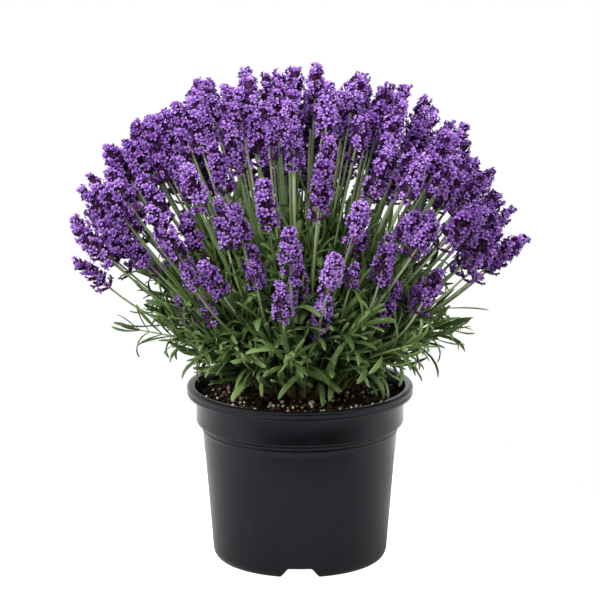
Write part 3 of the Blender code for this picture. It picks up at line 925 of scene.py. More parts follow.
def stem_line(flower, count):
    """That many points along a flower's stem, from its fork to its neck."""
    start, end = flower.stem[0], flower.stem[-1]
    return [curve_point(start, flower.bend, end, i / (count - 1)) for i in range(count)]


def tip_is_clear(leaf):
    """Whether a leaf's tip stays above the mix, or above the rim where it reaches that far."""
    _, bend, curl, _, _ = LEAF_FORMS[leaf.kind]
    tip_in_shape = leaf_centre_line(bend, curl)[-1][2]
    tip = leaf.place + leaf.turn @ (tip_in_shape * leaf.size)
    over_rim = math.hypot(tip.x, tip.y) > COLLAR_RADIUS - 0.006
    return tip.z > (POT_HEIGHT + 0.001 if over_rim else SOIL_TOP + 0.004)


def leaf_pairs(points, end, foliage, shade, rng):
    """Pairs of leaves up a stem to a share of its length, each pair crossed with the last, shorter
    and closer to the stem towards the top."""
    growths = []
    runs = [(b - a).length for a, b in zip(points, points[1:])]
    total = sum(runs)
    reach, turn = foliage.start * total, rng.uniform(0, math.pi)
    while reach < end * total:
        walked, index = 0.0, 0
        while index < len(runs) - 1 and walked + runs[index] < reach:
            walked += runs[index]
            index += 1
        along = (points[index + 1] - points[index]).normalized()
        foot = points[index] + along * (reach - walked)
        level = reach / total
        out = along.orthogonal().normalized()
        for side in (0, math.pi):
            way = Quaternion(along, turn + side + rng.uniform(-0.25, 0.25)) @ out
            lean = foliage.opening * (1.1 - 0.55 * level) * rng.uniform(0.65, 1.35)
            rise = rng.uniform(-0.12, 0.22) - foliage.hang * rng.random()
            aim = (leaned(along, way, lean) + UP * rise).normalized()
            size = foliage.length * rng.uniform(0.72, 1.18) * (1.08 - 0.4 * level)
            tone = shade_near(shade, 0.28, rng)
            form = rng.randrange(len(LEAF_FORMS))
            breadth = foliage.breadth * rng.uniform(0.82, 1.16)
            leaf = Growth(foot, turn_to(aim, along), size, form, tone, breadth)
            if not tip_is_clear(leaf):
                leaf.kind = UPSWEPT
            if tip_is_clear(leaf):
                growths.append(leaf)
        turn += math.pi / 2 + rng.uniform(-0.2, 0.2)
        reach += foliage.gap * rng.uniform(0.75, 1.3)
    return growths


def smooth_line(points, count):
    """Points spread along a smooth line through the given ones."""
    ends = [points[0] * 2 - points[1], *points, points[-1] * 2 - points[-2]]
    line = []
    for step in range(count):
        place = step / (count - 1) * (len(points) - 1)
        i = min(int(place), len(points) - 2)
        t = place - i
        a, b, c, d = ends[i : i + 4]
        square, cube = a * 2 - b * 5 + c * 4 - d, b * 3 - a - c * 3 + d
        line.append((b * 2 + (c - a) * t + square * t**2 + cube * t**3) * 0.5)
    return line


# ---------------------------------------------------------------- materials

# Sizes of the patterns, in metres
MOULD_CLOUD = 0.0385  # patches where the plastic cooled faster
FLOW_MARK = 0.00625
MOULD_GRAIN = 0.000714
GRAIN_DEPTH = 0.0002
MIX_CRUMB = 0.00238
CRUMB_DEPTH = 0.0012
PLASTIC_GLOSS = (0.20, 0.28)  # least and greatest roughness of the pot
PLASTIC_TINT = "#eeeeff"


def moulded_plastic():
    """Recycled black polypropylene, injection moulded: near black, with a soft satin sheen, a fine
    grain from the mould and faint vertical flow marks."""
    material, tree, surface = blank_material("moulded_black_polypropylene")
    place = node(tree, "ShaderNodeTexCoord").outputs["Object"]
    cloud = node(
        tree,
        "ShaderNodeTexNoise",
        {"Vector": place, "Scale": 1 / MOULD_CLOUD, "Detail": 4.0, "Roughness": 0.55},
    ).outputs["Fac"]
    drawn_out = node(tree, "ShaderNodeMapping", {"Vector": place, "Scale": (1.0, 1.0, 0.06)}).outputs[0]
    flow = {"Vector": drawn_out, "Scale": 1 / FLOW_MARK, "Detail": 2.0}
    streaks = node(tree, "ShaderNodeTexNoise", flow).outputs["Fac"]
    dust = node(tree, "ShaderNodeMath", {0: cloud, 1: streaks}, operation="MULTIPLY").outputs[0]
    black = node(tree, "ShaderNodeValToRGB", {"Fac": dust}, ((0.12, "#0a0a0c"), (0.5, "#111115")))
    least, greatest = PLASTIC_GLOSS
    spread = {"Value": cloud, "From Min": 0.3, "From Max": 0.7, "To Min": least, "To Max": greatest}
    gloss = node(tree, "ShaderNodeMapRange", spread)
    fine = {"Vector": place, "Scale": 1 / MOULD_GRAIN, "Detail": 2.0}
    grain = node(tree, "ShaderNodeTexNoise", fine).outputs["Fac"]
    relief = {"Height": grain, "Strength": 0.05, "Distance": GRAIN_DEPTH}
    raised = node(tree, "ShaderNodeBump", relief)
    finish = {
        "Base Color": black.outputs["Color"],
        "Roughness": gloss.outputs[0],
        "Normal": raised.outputs[0],
        "IOR": 1.49,
        "Specular Tint": linear(PLASTIC_TINT),
        "Specular IOR Level": 0.3,
    }
    plug(tree, surface, finish)
    return material


def damp_mix():
    """Damp peat and composted bark: almost black, brown where the fibres stand up and dry."""
    material, tree, surface = blank_material("damp_peat_and_bark")
    place = node(tree, "ShaderNodeTexCoord").outputs["Object"]
    fibres = {"Vector": place, "Scale": 1 / MIX_CRUMB, "Detail": 5.0, "Roughness": 0.7}
    crumbs = node(tree, "ShaderNodeTexNoise", fibres).outputs["Fac"]
    stops = ((0.36, "#050302"), (0.54, "#0e0a07"), (0.68, "#21170f"), (0.82, "#443424"))
    brown = node(tree, "ShaderNodeValToRGB", {"Fac": crumbs}, stops)
    relief = {"Height": crumbs, "Strength": 0.9, "Distance": CRUMB_DEPTH}
    raised = node(tree, "ShaderNodeBump", relief)
    finish = {
        "Base Color": brown.outputs["Color"],
        "Normal": raised.outputs[0],
        "Roughness": 0.93,
        "Specular IOR Level": 0.25,
    }
    plug(tree, surface, finish)
    return material


def grown_material(name, dark, light, roughness, specular, painted_shade_across_stops=None):
    """A grown surface: its colour runs along its length through stops, between a dark and a
    light shade from piece to piece, and across its width it may be multiplied by painted shade and
    highlight."""
    material, tree, surface = blank_material(name)
    shade, across, along = map_sockets(tree)
    darkest = node(tree, "ShaderNodeValToRGB", {"Fac": along}, dark).outputs["Color"]
    lightest = node(tree, "ShaderNodeValToRGB", {"Fac": along}, light).outputs["Color"]
    # Of a mix node's sockets, the colours' are 6 and 7 in and 2 out, and 0 is the share.
    between = {0: shade, 6: darkest, 7: lightest}
    colour = node(tree, "ShaderNodeMix", between, data_type="RGBA").outputs[2]
    # Across the width: painted light, darker towards a groove and pale at the edges.
    if painted_shade_across_stops:
        painted_edge_and_groove_shade = node(tree, "ShaderNodeValToRGB", {"Fac": across}, painted_shade_across_stops).outputs["Color"]
        tinted = {0: 1.0, 6: colour, 7: painted_edge_and_groove_shade}
        mixed = node(tree, "ShaderNodeMix", tinted, data_type="RGBA", blend_type="MULTIPLY")
        colour = mixed.outputs[2]
    finish = {"Base Color": colour, "Roughness": roughness, "Specular IOR Level": specular}
    plug(tree, surface, finish)
    return material


def floret_petal():
    """Lavender florets: felted calyces in deep violet, dusted grey-green at the base, and
    thin matt corollas that pale towards the edges of their lobes."""
    dark = (
        (0.0, "#4d4636"), (0.15, "#40293c"), (0.36, "#311538"), (0.46, "#2b1234"),
        (0.52, "#44205a"), (0.66, "#58327c"), (0.84, "#714693"), (1.0, "#8c62ac"),
    )
    light = (
        (0.0, "#857860"), (0.15, "#694b61"), (0.36, "#52295b"), (0.46, "#462252"),
        (0.52, "#633886"), (0.66, "#8152aa"), (0.84, "#a074c6"), (1.0, "#cba6e6"),
    )
    return grown_material("felted_calyx_and_corolla", dark, light, 0.72, 0.2)


def leaf_blade():
    """Lavender leaves: dull grey-green under a fine felt, the young ones yellower. Across the blade
    the midrib's groove is darkened with painted shade, and the edges stay pale: partly the felt's own
    colour, partly a painted highlight."""
    dark = ((0.0, "#40552a"), (0.25, "#344d20"), (0.8, "#3d592a"), (1.0, "#536d40"))
    light = ((0.0, "#a0ad72"), (0.25, "#8ca362"), (0.8, "#a2bb7e"), (1.0, "#bccfa2"))
    # From edge to midrib: pale edges, partly the felted margin's own colour and partly a painted
    # highlight, then painted shade darkening into the midrib's groove.
    across = ((0.0, "#ffffff"), (0.3, "#ccd3bf"), (0.7, "#b6c0a6"), (1.0, "#a0ad90"))
    return grown_material("felted_lavender_leaf", dark, light, 0.62, 0.35, across)


def green_stalk():
    """Flower stalks: square and downy, fresh green at the base, paler and greyer below the
    spike, and flushed violet inside it."""
    dark = ((0.0, "#485f30"), (0.45, "#58723f"), (0.75, "#788c60"), (0.88, "#675a62"), (1.0, "#432a4c"))
    light = ((0.0, "#7b904f"), (0.45, "#90a56b"), (0.75, "#b6c09d"), (0.88, "#9a8790"), (1.0, "#5e4369"))
    return grown_material("downy_flower_stalk", dark, light, 0.6, 0.3)


def green_shoot():
    """The year's leafy shoots: downy yellow-green stems that brown at the foot."""
    dark = ((0.0, "#4a4a2c"), (0.3, "#4a6030"), (1.0, "#577040"))
    light = ((0.0, "#7d7a4c"), (0.3, "#7f9550"), (1.0, "#96ab6c"))
    return grown_material("downy_leafy_shoot", dark, light, 0.6, 0.3)


def old_bark():
    """Old lavender wood: grey-brown bark that peels in strips."""
    dark = ((0.0, "#3a2d22"), (0.6, "#4d3e2e"), (1.0, "#5c5a3c"))
    light = ((0.0, "#6b5843"), (0.6, "#7f6b52"), (1.0, "#7e8055"))
    return grown_material("peeling_lavender_bark", dark, light, 0.9, 0.2)


def expanded_perlite():
    """Perlite: popped volcanic glass, cream white, stained brown by the mix."""
    dark = ((0.0, "#84755a"), (1.0, "#a8957a"))
    light = ((0.0, "#d3c6a9"), (1.0, "#f0e8d6"))
    return grown_material("expanded_perlite", dark, light, 0.85, 0.3)


def bark_chip():
    """Composted bark chips: reddish to pale brown, darker where they are wet."""
    dark = ((0.0, "#0a0705"), (1.0, "#1a110b"))
    light = ((0.0, "#2c1c12"), (1.0, "#6d5238"))
    return grown_material("composted_bark_chip", dark, light, 0.9, 0.25)


# ---------------------------------------------------------------- the pot and its mix

POT_SIDES = 192
SHARP_ANGLE = math.radians(42)  # edges of the pot that turn by more stay sharp in the light
NOTCH_REACH = (0.055, 0.085)  # the notch cutter's inner and outer ends, from the pot's axis
NOTCH_FLARE = 0.003  # how much wider the cutter is below the standing face
NOTCH_BELOW = 0.002
NOTCH_ROUNDING = 0.0018
DRAIN_SIDES = 32
DRAIN_CUT = 0.01  # length of a drain hole's cutter
MIX_RINGS, MIX_SIDES = 74, 220
MIX_GAP = 0.0003  # between the mix and the pot's wall
MIX_SINK = 0.0016  # by which the surface has settled
MIX_RELIEF = (  # of heaps, clods and crumbs: how many to a metre, how high, and where in the noise
    (38, 0.0022, 1.3),
    (130, 0.0016, 4.1),
    (420, 0.0009, 7.7),
)
PERLITE_GRAINS, PERLITE_SIZES = 300, (0.0010, 0.0042)
BARK_CHIPS, BARK_SIZES = 900, (0.0020, 0.0070)
GRAIN_FORMS = 3
STREW_EDGE = 0.0035  # bare margin along the wall


def revolve(name, profile, segments):
    """A turned shape from (radius, height) points that run down its outside."""
    last = len(profile) - 1
    edges = [(i, i + 1) for i in range(last)]
    if profile[0][0] > 0:
        edges.append((last, 0))
    mesh = bpy.data.meshes.new(name)
    mesh.from_pydata([(radius, 0, height) for radius, height in profile], edges, [])
    obj = add_object(name, mesh)
    screw = obj.modifiers.new("turn", "SCREW")
    screw.steps = screw.render_steps = segments
    screw.use_merge_vertices, screw.merge_threshold = True, 0.00002
    screw.use_smooth_shade = True
    return obj


def arc(centre, radii, start, end, steps):
    """Points on an elliptical arc, in (radius, height), between two angles in degrees."""
    points = []
    for step in range(steps + 1):
        angle = math.radians(start + (end - start) * step / steps)
        across, rise = radii[0] * math.cos(angle), radii[1] * math.sin(angle)
        points.append((centre[0] + across, centre[1] + rise))
    return points


def pot_profile(lip, top):
    """The pot's section as (radius, height) points: over the rim, down the outside, under the
    floor and up the inside. Points near the ends of a straight wall keep it flat in the light."""
    shoulder = COLLAR_LOW - SHOULDER_HEIGHT
    inner_top = lip - LIP_WIDTH
    wall_top = (BODY_HIGH_RADIUS - 0.0001, shoulder - 0.0030)
    wall_foot = (BODY_LOW_RADIUS, FOOT_ROUND)
    near_ends = [tuple(a + (b - a) * s for a, b in zip(wall_top, wall_foot)) for s in (0.04, 0.96)]
    ring = FOOT_RADIUS - FOOT_LAND
    floor = FLOOR_UNDERSIDE + POT_WALL
    return [
        *arc((inner_top + 0.0009, top - 0.0010), (0.0009, 0.0010), 180, 90, 4),
        (lip - 0.0032, top),
        *arc((lip - 0.0021, top - 0.0021), (0.0021, 0.0021), 90, -50, 8),
        *arc((lip - 0.0023, top - 0.0062), (0.0021, 0.0022), 50, -60, 7),
        (lip - 0.0026, top - 0.0086),
        (COLLAR_RADIUS + 0.0012, top - 0.0090),
        (COLLAR_RADIUS + 0.0003, top - 0.0102),
        (COLLAR_RADIUS, top - 0.0110),
        (COLLAR_RADIUS, COLLAR_LOW + 0.0040),
        (COLLAR_RADIUS, COLLAR_LOW + 0.0030),
        *arc((COLLAR_RADIUS - 0.0012, COLLAR_LOW + 0.0016), (0.0012, 0.0014), 0, -80, 4),
        *arc((BODY_HIGH_RADIUS + 0.0030, shoulder + 0.0002), (0.0030, 0.0030), 110, 180, 4),
        *arc((BODY_HIGH_RADIUS - 0.0002, shoulder - 0.0012), (0.0009, 0.0009), 70, -60, 5),
        wall_top,
        *near_ends,
        *arc((FOOT_RADIUS, FOOT_ROUND), (BODY_LOW_RADIUS - FOOT_RADIUS, FOOT_ROUND), 0, -90, 10),
        (ring, 0),
        (ring, FLOOR_UNDERSIDE - 0.0008),
        (ring - 0.0008, FLOOR_UNDERSIDE),
        (0.030, FLOOR_UNDERSIDE),
        (0.029, FLOOR_UNDERSIDE - 0.0008),
        (0.028, FLOOR_UNDERSIDE),
        (0, FLOOR_UNDERSIDE),
        (0, floor),
        (BODY_LOW_RADIUS - 0.006, floor),
        (BODY_LOW_RADIUS - POT_WALL, 0.014),
        (BODY_HIGH_RADIUS - POT_WALL, shoulder - 0.001),
        (COLLAR_RADIUS - POT_WALL, COLLAR_LOW + 0.0014),
        (COLLAR_RADIUS - POT_WALL, top - 0.0100),
        (inner_top - 0.0004, top - 0.0040),
    ]


def notch_cutter(number):
    """The wedge that cuts one drainage notch: wide at the standing face, narrow at its top."""
    angle = -math.pi / 2 + 2 * math.pi * number / NOTCH_COUNT
    out = Vector((math.cos(angle), math.sin(angle), 0))
    side = Vector((-math.sin(angle), math.cos(angle), 0))
    near, far = NOTCH_REACH
    corners = []
    for height, width in ((-NOTCH_BELOW, NOTCH_WIDE + NOTCH_FLARE), (NOTCH_HEIGHT, NOTCH_NARROW)):
        for reach, sign in ((near, -1), (far, -1), (far, 1), (near, 1)):
            corners.append(out * reach + side * (sign * width / 2) + UP * height)
    faces = [(3, 2, 1, 0), (4, 5, 6, 7), (0, 1, 5, 4), (1, 2, 6, 5), (2, 3, 7, 6), (3, 0, 4, 7)]
    cutter = add_object(f"notch_{number}", mesh_of("notch", corners, faces, smooth=False))
    rounding = cutter.modifiers.new("rounding", "BEVEL")
    rounding.width, rounding.segments = NOTCH_ROUNDING, 3
    return cutter


def drain_cutter(number, x, y):
    """The pin that cuts one drain hole through the pot's floor."""
    shape = bmesh.new()
    bmesh.ops.create_cone(
        shape,
        cap_ends=True,
        segments=DRAIN_SIDES,
        radius1=DRAIN_RADIUS,
        radius2=DRAIN_RADIUS,
        depth=DRAIN_CUT,
    )
    bmesh.ops.translate(shape, verts=shape.verts, vec=(x, y, FLOOR_UNDERSIDE))
    return add_object(f"drain_{number}", mesh_from("drain", shape))


def build_pot():
    """The pot, turned from its profile, with its notches and drain holes cut through."""
    _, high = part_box("pot")
    obj = revolve("nursery_pot", pot_profile(high.x, high.z), POT_SIDES)
    cutters = [notch_cutter(number) for number in range(NOTCH_COUNT)]
    ring = ring_corners(0, DRAIN_RING_RADIUS, DRAIN_RING_COUNT)
    for number, place in enumerate([Vector((0, 0, 0)), *ring]):
        cutters.append(drain_cutter(number, place.x, place.y))
    for cutter in cutters:
        cut = obj.modifiers.new("cut", "BOOLEAN")
        cut.operation, cut.solver, cut.object = "DIFFERENCE", "EXACT", cutter
    obj = settle(obj)
    for cutter in cutters:
        bpy.data.objects.remove(cutter, do_unlink=True)
    obj.data.shade_smooth()
    obj.data.set_sharp_from_angle(angle=SHARP_ANGLE)
    obj.data.materials.clear()
    obj.data.materials.append(moulded_plastic())
    finish_piece(obj, "pot_plastic", "pot")


def mix_height(x, y):
    """Height of the mix's surface, with its heaps, clods and crumbs."""
    rise = 0
    for per_metre, height, start in MIX_RELIEF:
        rise += height * noise.noise(Vector((x * per_metre, y * per_metre, start)))
    return SOIL_TOP + rise - MIX_SINK


def build_mix():
    """The mix as one closed body: a crumbly top over the plain bulk that fills the pot."""
    wall = COLLAR_RADIUS - POT_WALL - MIX_GAP
    corners = [Vector((0, 0, mix_height(0, 0)))]
    for ring in range(1, MIX_RINGS + 1):
        for corner in ring_corners(0, wall * (ring / MIX_RINGS) ** 0.82, MIX_SIDES):
            corners.append(Vector((corner.x, corner.y, mix_height(corner.x, corner.y))))
    faces = [(0, 1 + i, 1 + (i + 1) % MIX_SIDES) for i in range(MIX_SIDES)]
    for ring in range(MIX_RINGS - 1):
        first = 1 + ring * MIX_SIDES
        join_rings(faces, first + MIX_SIDES, first, MIX_SIDES)
    below = (
        (wall, COLLAR_LOW + 0.002),
        (BODY_HIGH_RADIUS - POT_WALL - MIX_GAP, COLLAR_LOW - SHOULDER_HEIGHT - 0.0006),
        (BODY_LOW_RADIUS - POT_WALL - MIX_GAP, 0.0145),
        (BODY_LOW_RADIUS - 0.0068, FLOOR_UNDERSIDE + POT_WALL + MIX_GAP),
    )
    for radius, height in below:
        first = len(corners)
        corners += ring_corners(height, radius, MIX_SIDES)
        join_rings(faces, first, first - MIX_SIDES, MIX_SIDES)
    faces.append(tuple(range(len(corners) - MIX_SIDES, len(corners)))[::-1])
    obj = add_object("potting_mix_bed", tidy_normals(mesh_of("potting_mix_bed", corners, faces)))
    obj.data.materials.append(damp_mix())
    finish_piece(obj, "potting_mix", "potting_mix")


def crumb_shape(name, seed, stretch):
    """A rough grain of unit size, from a ball pushed in and out."""
    shape = bmesh.new()
    bmesh.ops.create_icosphere(shape, subdivisions=1, radius=0.5)
    for vert in shape.verts:
        push = 1 + 0.45 * noise.noise(vert.co * 3 + Vector((seed, 0, 0)))
        vert.co = Vector(stretch) * vert.co * push
    mesh = mesh_from(name, shape)
    mesh.shade_smooth()
    point_values(mesh, along=[min(max(v.co.z + 0.5, 0), 1) for v in mesh.vertices])
    return mesh


def strew(name, count, sizes, shapes, tree, finish, rng):
    """Grains thrown over the mix, a few of them half buried."""
    growths = []
    for _ in range(count):
        radius = (COLLAR_RADIUS - STREW_EDGE) * math.sqrt(rng.random())
        angle = rng.uniform(0, 2 * math.pi)
        x, y = radius * math.cos(angle), radius * math.sin(angle)
        size = rng.uniform(*sizes)
        place = Vector((x, y, mix_height(x, y) + size * (0.28 - 0.2 * rng.random())))
        turn = Quaternion([rng.gauss(0, 1) for _ in range(4)]).normalized()
        growths.append(Growth(place, turn, size, rng.randrange(GRAIN_FORMS), rng.random()))
    finish_piece(grow(name, growths, shapes, tree, finish), "potting_mix")


def strew_mix(tree):
    """The perlite grains and bark chips on the mix."""
    rng = random.Random(PLANT_SEED + 70)
    grains = [crumb_shape(f"grain_{i}", i * 3.1, (1, 0.85, 0.8)) for i in range(GRAIN_FORMS)]
    chips = [crumb_shape(f"chip_{i}", i * 5.3 + 1, (0.45, 0.28, 1)) for i in range(GRAIN_FORMS)]
    grains, chips = shape_collection("grain", grains), shape_collection("chip", chips)
    strew("perlite_grains", PERLITE_GRAINS, PERLITE_SIZES, grains, tree, expanded_perlite(), rng)
    strew("bark_chips", BARK_CHIPS, BARK_SIZES, chips, tree, bark_chip(), rng)


# ---------------------------------------------------------------- the crown

LIMB_POINTS = 9
LIMB_RADII = (0.0042, 0.0018)  # at the root and at the seat
LIMB_SIDES = 7


def build_crown(tree):
    """Gnarled wood: limbs that rise from the root in the middle to each shoot's seat."""
    rng = random.Random(PLANT_SEED + 5)
    thick, thin = LIMB_RADII
    stalks = []
    for index in range(FLOWERING_BRANCHES + LEAFY_SHOOTS):
        seat, heading = seat_at(index)
        root = Vector((seat.x * 0.12, seat.y * 0.12, SOIL_TOP - 0.008))
        middle = Vector((seat.x * 0.62, seat.y * 0.62, SOIL_TOP + 0.0035 + rng.uniform(0, 0.003)))
        middle += Vector((rng.uniform(-0.0015, 0.0015), rng.uniform(-0.0015, 0.0015), 0))
        ends = [root, middle, seat - heading * 0.004, seat + heading * 0.001]
        shares = [i / (LIMB_POINTS - 1) for i in range(LIMB_POINTS)]
        widths = [thick - (thick - thin) * s + rng.uniform(-0.0003, 0.0003) for s in shares]
        stalks.append((smooth_line(ends, LIMB_POINTS), widths, rng.random() * 0.9))
    obj = draw_stalks("woody_limbs", stalks, LIMB_SIDES, tree, old_bark())
    finish_piece(obj, "woody_stem", "woody_crown")


# ---------------------------------------------------------------- the clump

STALK_SIDES = 6
STALK_POINTS = 9
STALK_STATIONS = 12  # points along a stalk's line that its leaves are placed by
STALK_RADIUS = 0.00092
SPIKE_CORE = (0.00085, 0.0007, 0.0004)  # the stalk's radii at its neck and on up inside the spike
WOOD_RADII = [0.0019, 0.0018, 0.0017, 0.0017, 0.0018, 0.0012]  # from the seat to the fork
SHOOT_POINTS = 8
SHOOT_RADII = (0.0014, 0.0006)  # at the foot and at the tip
BASAL_LENGTH = (0.062, 0.096)
BASAL_TILT = (16, 48)  # degrees from upright: in the middle, and at the front and back edge
FLANK_TILT, FRONT_TILT = 17, -8  # what is added to that at the flanks and at the front
FLANK_STRETCH, FRONT_STRETCH = 0.16, -0.28  # what is added there to the length, as shares


def extra_flowers(branches, flowers):
    """More flowers in the gaps of the clump, which may brush against their neighbours: tall ones
    at the back and the flanks, and a few low ones in front."""
    rng = random.Random(PLANT_SEED + 20)
    heads = np.vstack([flower.head() for flower in flowers])
    places = [(disc_point(i, EXTRA_FLOWERS), False) for i in range(EXTRA_FLOWERS)]
    places += [(ring_point(i, EXTRA_SHORT, 0.45), True) for i in range(EXTRA_SHORT)]
    extra = []
    for (v, u), short in places:  # turned a quarter, so these fall between the first ones
        out_of_place = v > 0 if short else v < EXTRA_FRONT
        if out_of_place:
            continue
        for attempt in range(30):
            flower = draw_flower(rng, (u, v), branches, short, attempt)
            if least_gap(flower.head(), heads) > (EXTRA_ROOM if short else -EXTRA_OVERLAP):
                heads = np.vstack((heads, flower.head()))
                extra.append(flower)
                break
    return extra


def spike_pieces(flowers, tree):
    """Florets, in one piece for each group of branches."""
    rng = random.Random(PLANT_SEED + 30)
    shapes = shape_collection("floret", [floret_shape(*form) for form in FLORET_FORMS])
    finish = floret_petal()
    growths = [[] for _ in range(FLOWER_GROUPS)]
    for flower in flowers:
        growths[flower.branch % FLOWER_GROUPS] += florets_of(flower, rng)
    for group, florets in enumerate(growths):
        obj = grow(f"lavender_florets_{group + 1}", florets, shapes, tree, finish)
        branches = range(group, FLOWERING_BRANCHES, FLOWER_GROUPS)
        finish_piece(obj, "lavender_flower", *numbered("flowering_branch", branches))


def stalk_piece(branches, flowers, tree):
    """The flower stalks and the branches that they fork from."""
    rng = random.Random(PLANT_SEED + 40)
    stalks = []
    for flower in flowers:
        points = [*stem_line(flower, STALK_POINTS), flower.spike_point(0.5), flower.spike_point(0.92)]
        radius = STALK_RADIUS * rng.uniform(0.9, 1.2)
        widths = [radius] * (STALK_POINTS - 1) + [*SPIKE_CORE]
        stalks.append((points, widths, rng.random()))
    obj = draw_stalks("flower_stalks", stalks, STALK_SIDES, tree, green_stalk())
    finish_piece(obj, "lavender_flower", *numbered("flowering_branch", range(FLOWERING_BRANCHES)))
    wood = []
    for branch in branches:
        overlap = branch.heading * 0.002
        middle = branch.seat.lerp(branch.fork, 0.5)
        points = smooth_line([branch.seat - overlap, middle, branch.fork + overlap], len(WOOD_RADII))
        wood.append((points, WOOD_RADII, rng.uniform(0.4, 1.0)))
    finish_piece(draw_stalks("branch_wood", wood, STALK_SIDES, tree, old_bark()), "woody_stem")


def basal_shoots(shoots):
    """The stem lines of all leafy shoots: those of the plan, and smaller ones between them."""
    rng = random.Random(PLANT_SEED + 50)
    lines = [smooth_line(shoot.stem, SHOOT_POINTS) for shoot in shoots]
    upright, spread = BASAL_TILT
    for index in range(BASAL_SHOOTS):
        angle = index * GOLDEN_ANGLE
        level = (index + 0.5) / BASAL_SHOOTS
        way = Vector((math.cos(angle), math.sin(angle), 0))
        flank, front = abs(way.x), max(-way.y, 0)
        widest = spread + FLANK_TILT * flank + FRONT_TILT * front
        tilt = upright + (widest - upright) * (1 - level) ** 1.25 + rng.uniform(-8, 8)
        foot = way * (0.042 - 0.020 * level) + UP * (SOIL_TOP + 0.008 + 0.008 * level)
        length = rng.uniform(*BASAL_LENGTH) * (1 + 0.25 * level)
        length *= (1 + FLANK_STRETCH * flank) * (1 + FRONT_STRETCH * front)
        low = foot + (way * 0.6 + UP * 0.8) * (0.25 * length)
        tip = foot + leaned(UP, way, math.radians(tilt)) * length
        middle = low.lerp(tip, 0.5) + UP * (0.05 * length)
        lines.append(smooth_line([foot, low, middle, tip], SHOOT_POINTS))
    return lines


def tip_leaves(line, shade, rng):
    """The tuft of young leaves at a shoot's tip."""
    growths = []
    tip = (line[-1] - line[-2]).normalized()
    for number in range(TIP_LEAVES):
        turn = 2 * math.pi * number / TIP_LEAVES + rng.uniform(-0.3, 0.3)
        way = Quaternion(tip, turn) @ tip.orthogonal().normalized()
        aim = (tip * 0.9 + way * rng.uniform(0.15, 0.45)).normalized()
        size, form = rng.uniform(*TIP_LEAF_LENGTH), rng.randrange(len(LEAF_FORMS))
        growths.append(Growth(line[-1], turn_to(aim, tip), size, form, min(shade + 0.1, 0.99), 0.8))
    return growths


def leaf_halves(name, leaves, shapes, tree, finish, *nodes):
    """A set of leaves in two pieces, the first of which stands for the CAD nodes."""
    half = len(leaves) // 2
    first = grow(f"{name}_1", leaves[:half], shapes, tree, finish)
    finish_piece(first, "lavender_leaf", *nodes)
    second = grow(f"{name}_2", leaves[half:], shapes, tree, finish)
    finish_piece(second, "lavender_leaf")


def leaf_pieces(flowers, shoots, growth, stalks):
    """Leaves on the shoots and on the lower part of the flower stalks."""
    rng = random.Random(PLANT_SEED + 60)
    thick, thin = SHOOT_RADII
    shares = [i / (SHOOT_POINTS - 1) for i in range(SHOOT_POINTS)]
    widths = [thick - (thick - thin) * share for share in shares]
    shoot_leaves, stems = [], []
    for line in basal_shoots(shoots):
        shade = rng.uniform(0.25, 0.85)
        shoot_leaves += leaf_pairs(line, 1.0, SHOOT_FOLIAGE, shade, rng)
        stems.append((line, widths, rng.random()))
        shoot_leaves += tip_leaves(line, shade, rng)
    stalk_leaves = []
    for flower in flowers:
        shade, end = rng.uniform(0.15, 0.75), rng.uniform(*STALK_LEAFY)
        line = stem_line(flower, STALK_STATIONS)
        stalk_leaves += leaf_pairs(line, end, STALK_FOLIAGE, shade, rng)
    shapes = shape_collection("blade", [leaf_shape(*form) for form in LEAF_FORMS])
    finish = leaf_blade()
    nodes = numbered("leafy_shoot", range(len(shoots)))
    leaf_halves("shoot_leaves", shoot_leaves, shapes, growth, finish, *nodes)
    stems = draw_stalks("shoot_stems", stems, STALK_SIDES, stalks, green_shoot())
    finish_piece(stems, "lavender_leaf")
    leaf_halves("stalk_leaves", stalk_leaves, shapes, growth, finish)


# ---------------------------------------------------------------- the studio


def pale_floor():
    """A matt pale sheet that is lit from below, so the camera sees it pure white."""
    material, tree, surface = blank_material("backlit_studio_floor")
    finish = {
        "Base Color": linear(FLOOR_COLOUR),
        "Roughness": 0.9,
        "Specular IOR Level": 0.0,
        "Emission Color": (1, 1, 1, 1),
        "Emission Strength": node(tree, "ShaderNodeLightPath").outputs["Is Camera Ray"],
    }
    plug(tree, surface, finish)
    return material


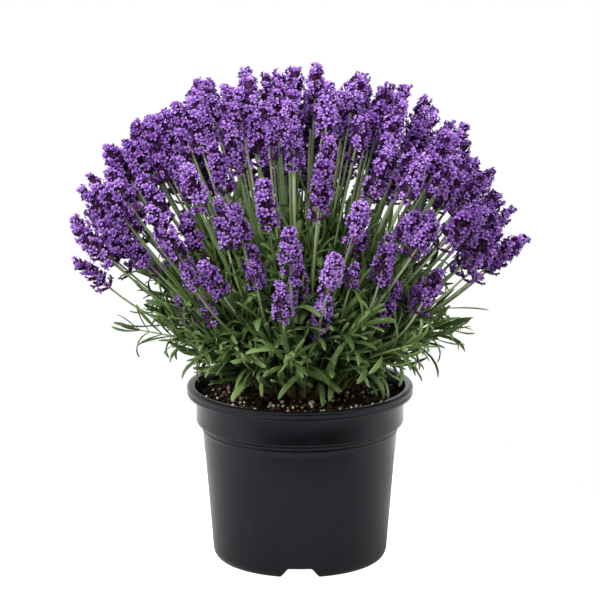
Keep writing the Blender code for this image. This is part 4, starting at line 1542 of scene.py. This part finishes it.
def studio_brightness(tree):
    """White to the camera. The plant is lit by soft walls and a ceiling, and the pot mirrors
    bright walls with a dark opening in front."""
    path = node(tree, "ShaderNodeLightPath").outputs
    way = node(tree, "ShaderNodeTexCoord").outputs["Generated"]
    parts = node(tree, "ShaderNodeSeparateXYZ", {"Vector": way}).outputs
    x_twice = {0: parts["X"], 1: parts["X"]}
    walls = node(tree, "ShaderNodeMath", x_twice, operation="MULTIPLY").outputs[0]
    walls_lit = {0: walls, 1: WORLD_SIDES, 2: WORLD_FRONT}
    lit = node(tree, "ShaderNodeMath", walls_lit, operation="MULTIPLY_ADD").outputs[0]
    above = node(tree, "ShaderNodeMath", {0: parts["Z"], 1: 0.0}, operation="MAXIMUM").outputs[0]
    ceiling_lit = {0: above, 1: WORLD_TOP, 2: lit}
    lit = node(tree, "ShaderNodeMath", ceiling_lit, operation="MULTIPLY_ADD").outputs[0]
    facing = {0: way, 1: OPENING_AWAY}
    behind = node(tree, "ShaderNodeVectorMath", facing, operation="DOT_PRODUCT").outputs["Value"]
    least, greatest = OPENING_EDGE
    opening = {
        "Value": behind,
        "From Min": least,
        "From Max": greatest,
        "To Min": MIRROR_DARK,
        "To Max": MIRROR_BRIGHT,
    }
    mirror = node(tree, "ShaderNodeMapRange", opening).outputs[0]
    either = {"Factor": path["Is Glossy Ray"], "A": lit, "B": mirror}
    glossy = node(tree, "ShaderNodeMix", either).outputs[0]
    white = {0: path["Is Camera Ray"], 1: glossy}
    return node(tree, "ShaderNodeMath", white, operation="MAXIMUM").outputs[0]


def softbox(name, place, size, power):
    """A large soft lamp that faces the plant, and doesn't show in the glossy pot."""
    light = bpy.data.lights.new(name, "AREA")
    light.shape, light.energy = "RECTANGLE", power
    light.size, light.size_y = size
    lamp = add_object(name, light)
    lamp.location = place
    lamp.visible_glossy = False
    lamp.rotation_euler = (Vector(LAMP_AIM) - Vector(place)).to_track_quat("-Z", "Y").to_euler()


def build_studio():
    """The floor, the white surroundings, the lamps and the camera."""
    shape = bmesh.new()
    bmesh.ops.create_circle(shape, cap_ends=True, segments=FLOOR_SIDES, radius=FLOOR_RADIUS)
    bmesh.ops.translate(shape, verts=shape.verts, vec=(0, 0, -FLOOR_SINK))
    floor = add_object("studio_floor", mesh_from("studio_floor", shape))
    floor.data.materials.append(pale_floor())
    world = bpy.data.worlds.new("studio")
    world.use_nodes = True
    brightness = studio_brightness(world.node_tree)
    background = world.node_tree.nodes["Background"]
    plug(world.node_tree, background, {"Color": (1, 1, 1, 1), "Strength": brightness})
    for lamp in LAMPS:
        softbox(*lamp)
    camera = add_object("camera", bpy.data.cameras.new("camera"))
    camera.data.lens = CAMERA_LENS
    camera.data.clip_end = 100
    camera.location = CAMERA_PLACE
    aim = Vector((0, 0, CAMERA_AIM_HEIGHT)) - Vector(CAMERA_PLACE)
    camera.rotation_euler = aim.to_track_quat("-Z", "Y").to_euler()
    scene = bpy.context.scene
    scene.world = world
    scene.camera = camera
    scene.view_settings.view_transform = "Standard"


def build():
    occupied = Occupied()
    branches = plan_branches(occupied)
    flowers = plan_flowers(branches, occupied)
    shoots = plan_shoots(occupied)
    flowers += extra_flowers(branches, flowers)
    growth, stalks = growth_tree(), stalk_tree()
    build_pot()
    build_mix()
    strew_mix(growth)
    build_crown(stalks)
    stalk_piece(branches, flowers, stalks)
    spike_pieces(flowers, growth)
    leaf_pieces(flowers, shoots, growth, stalks)
    build_studio()


build()
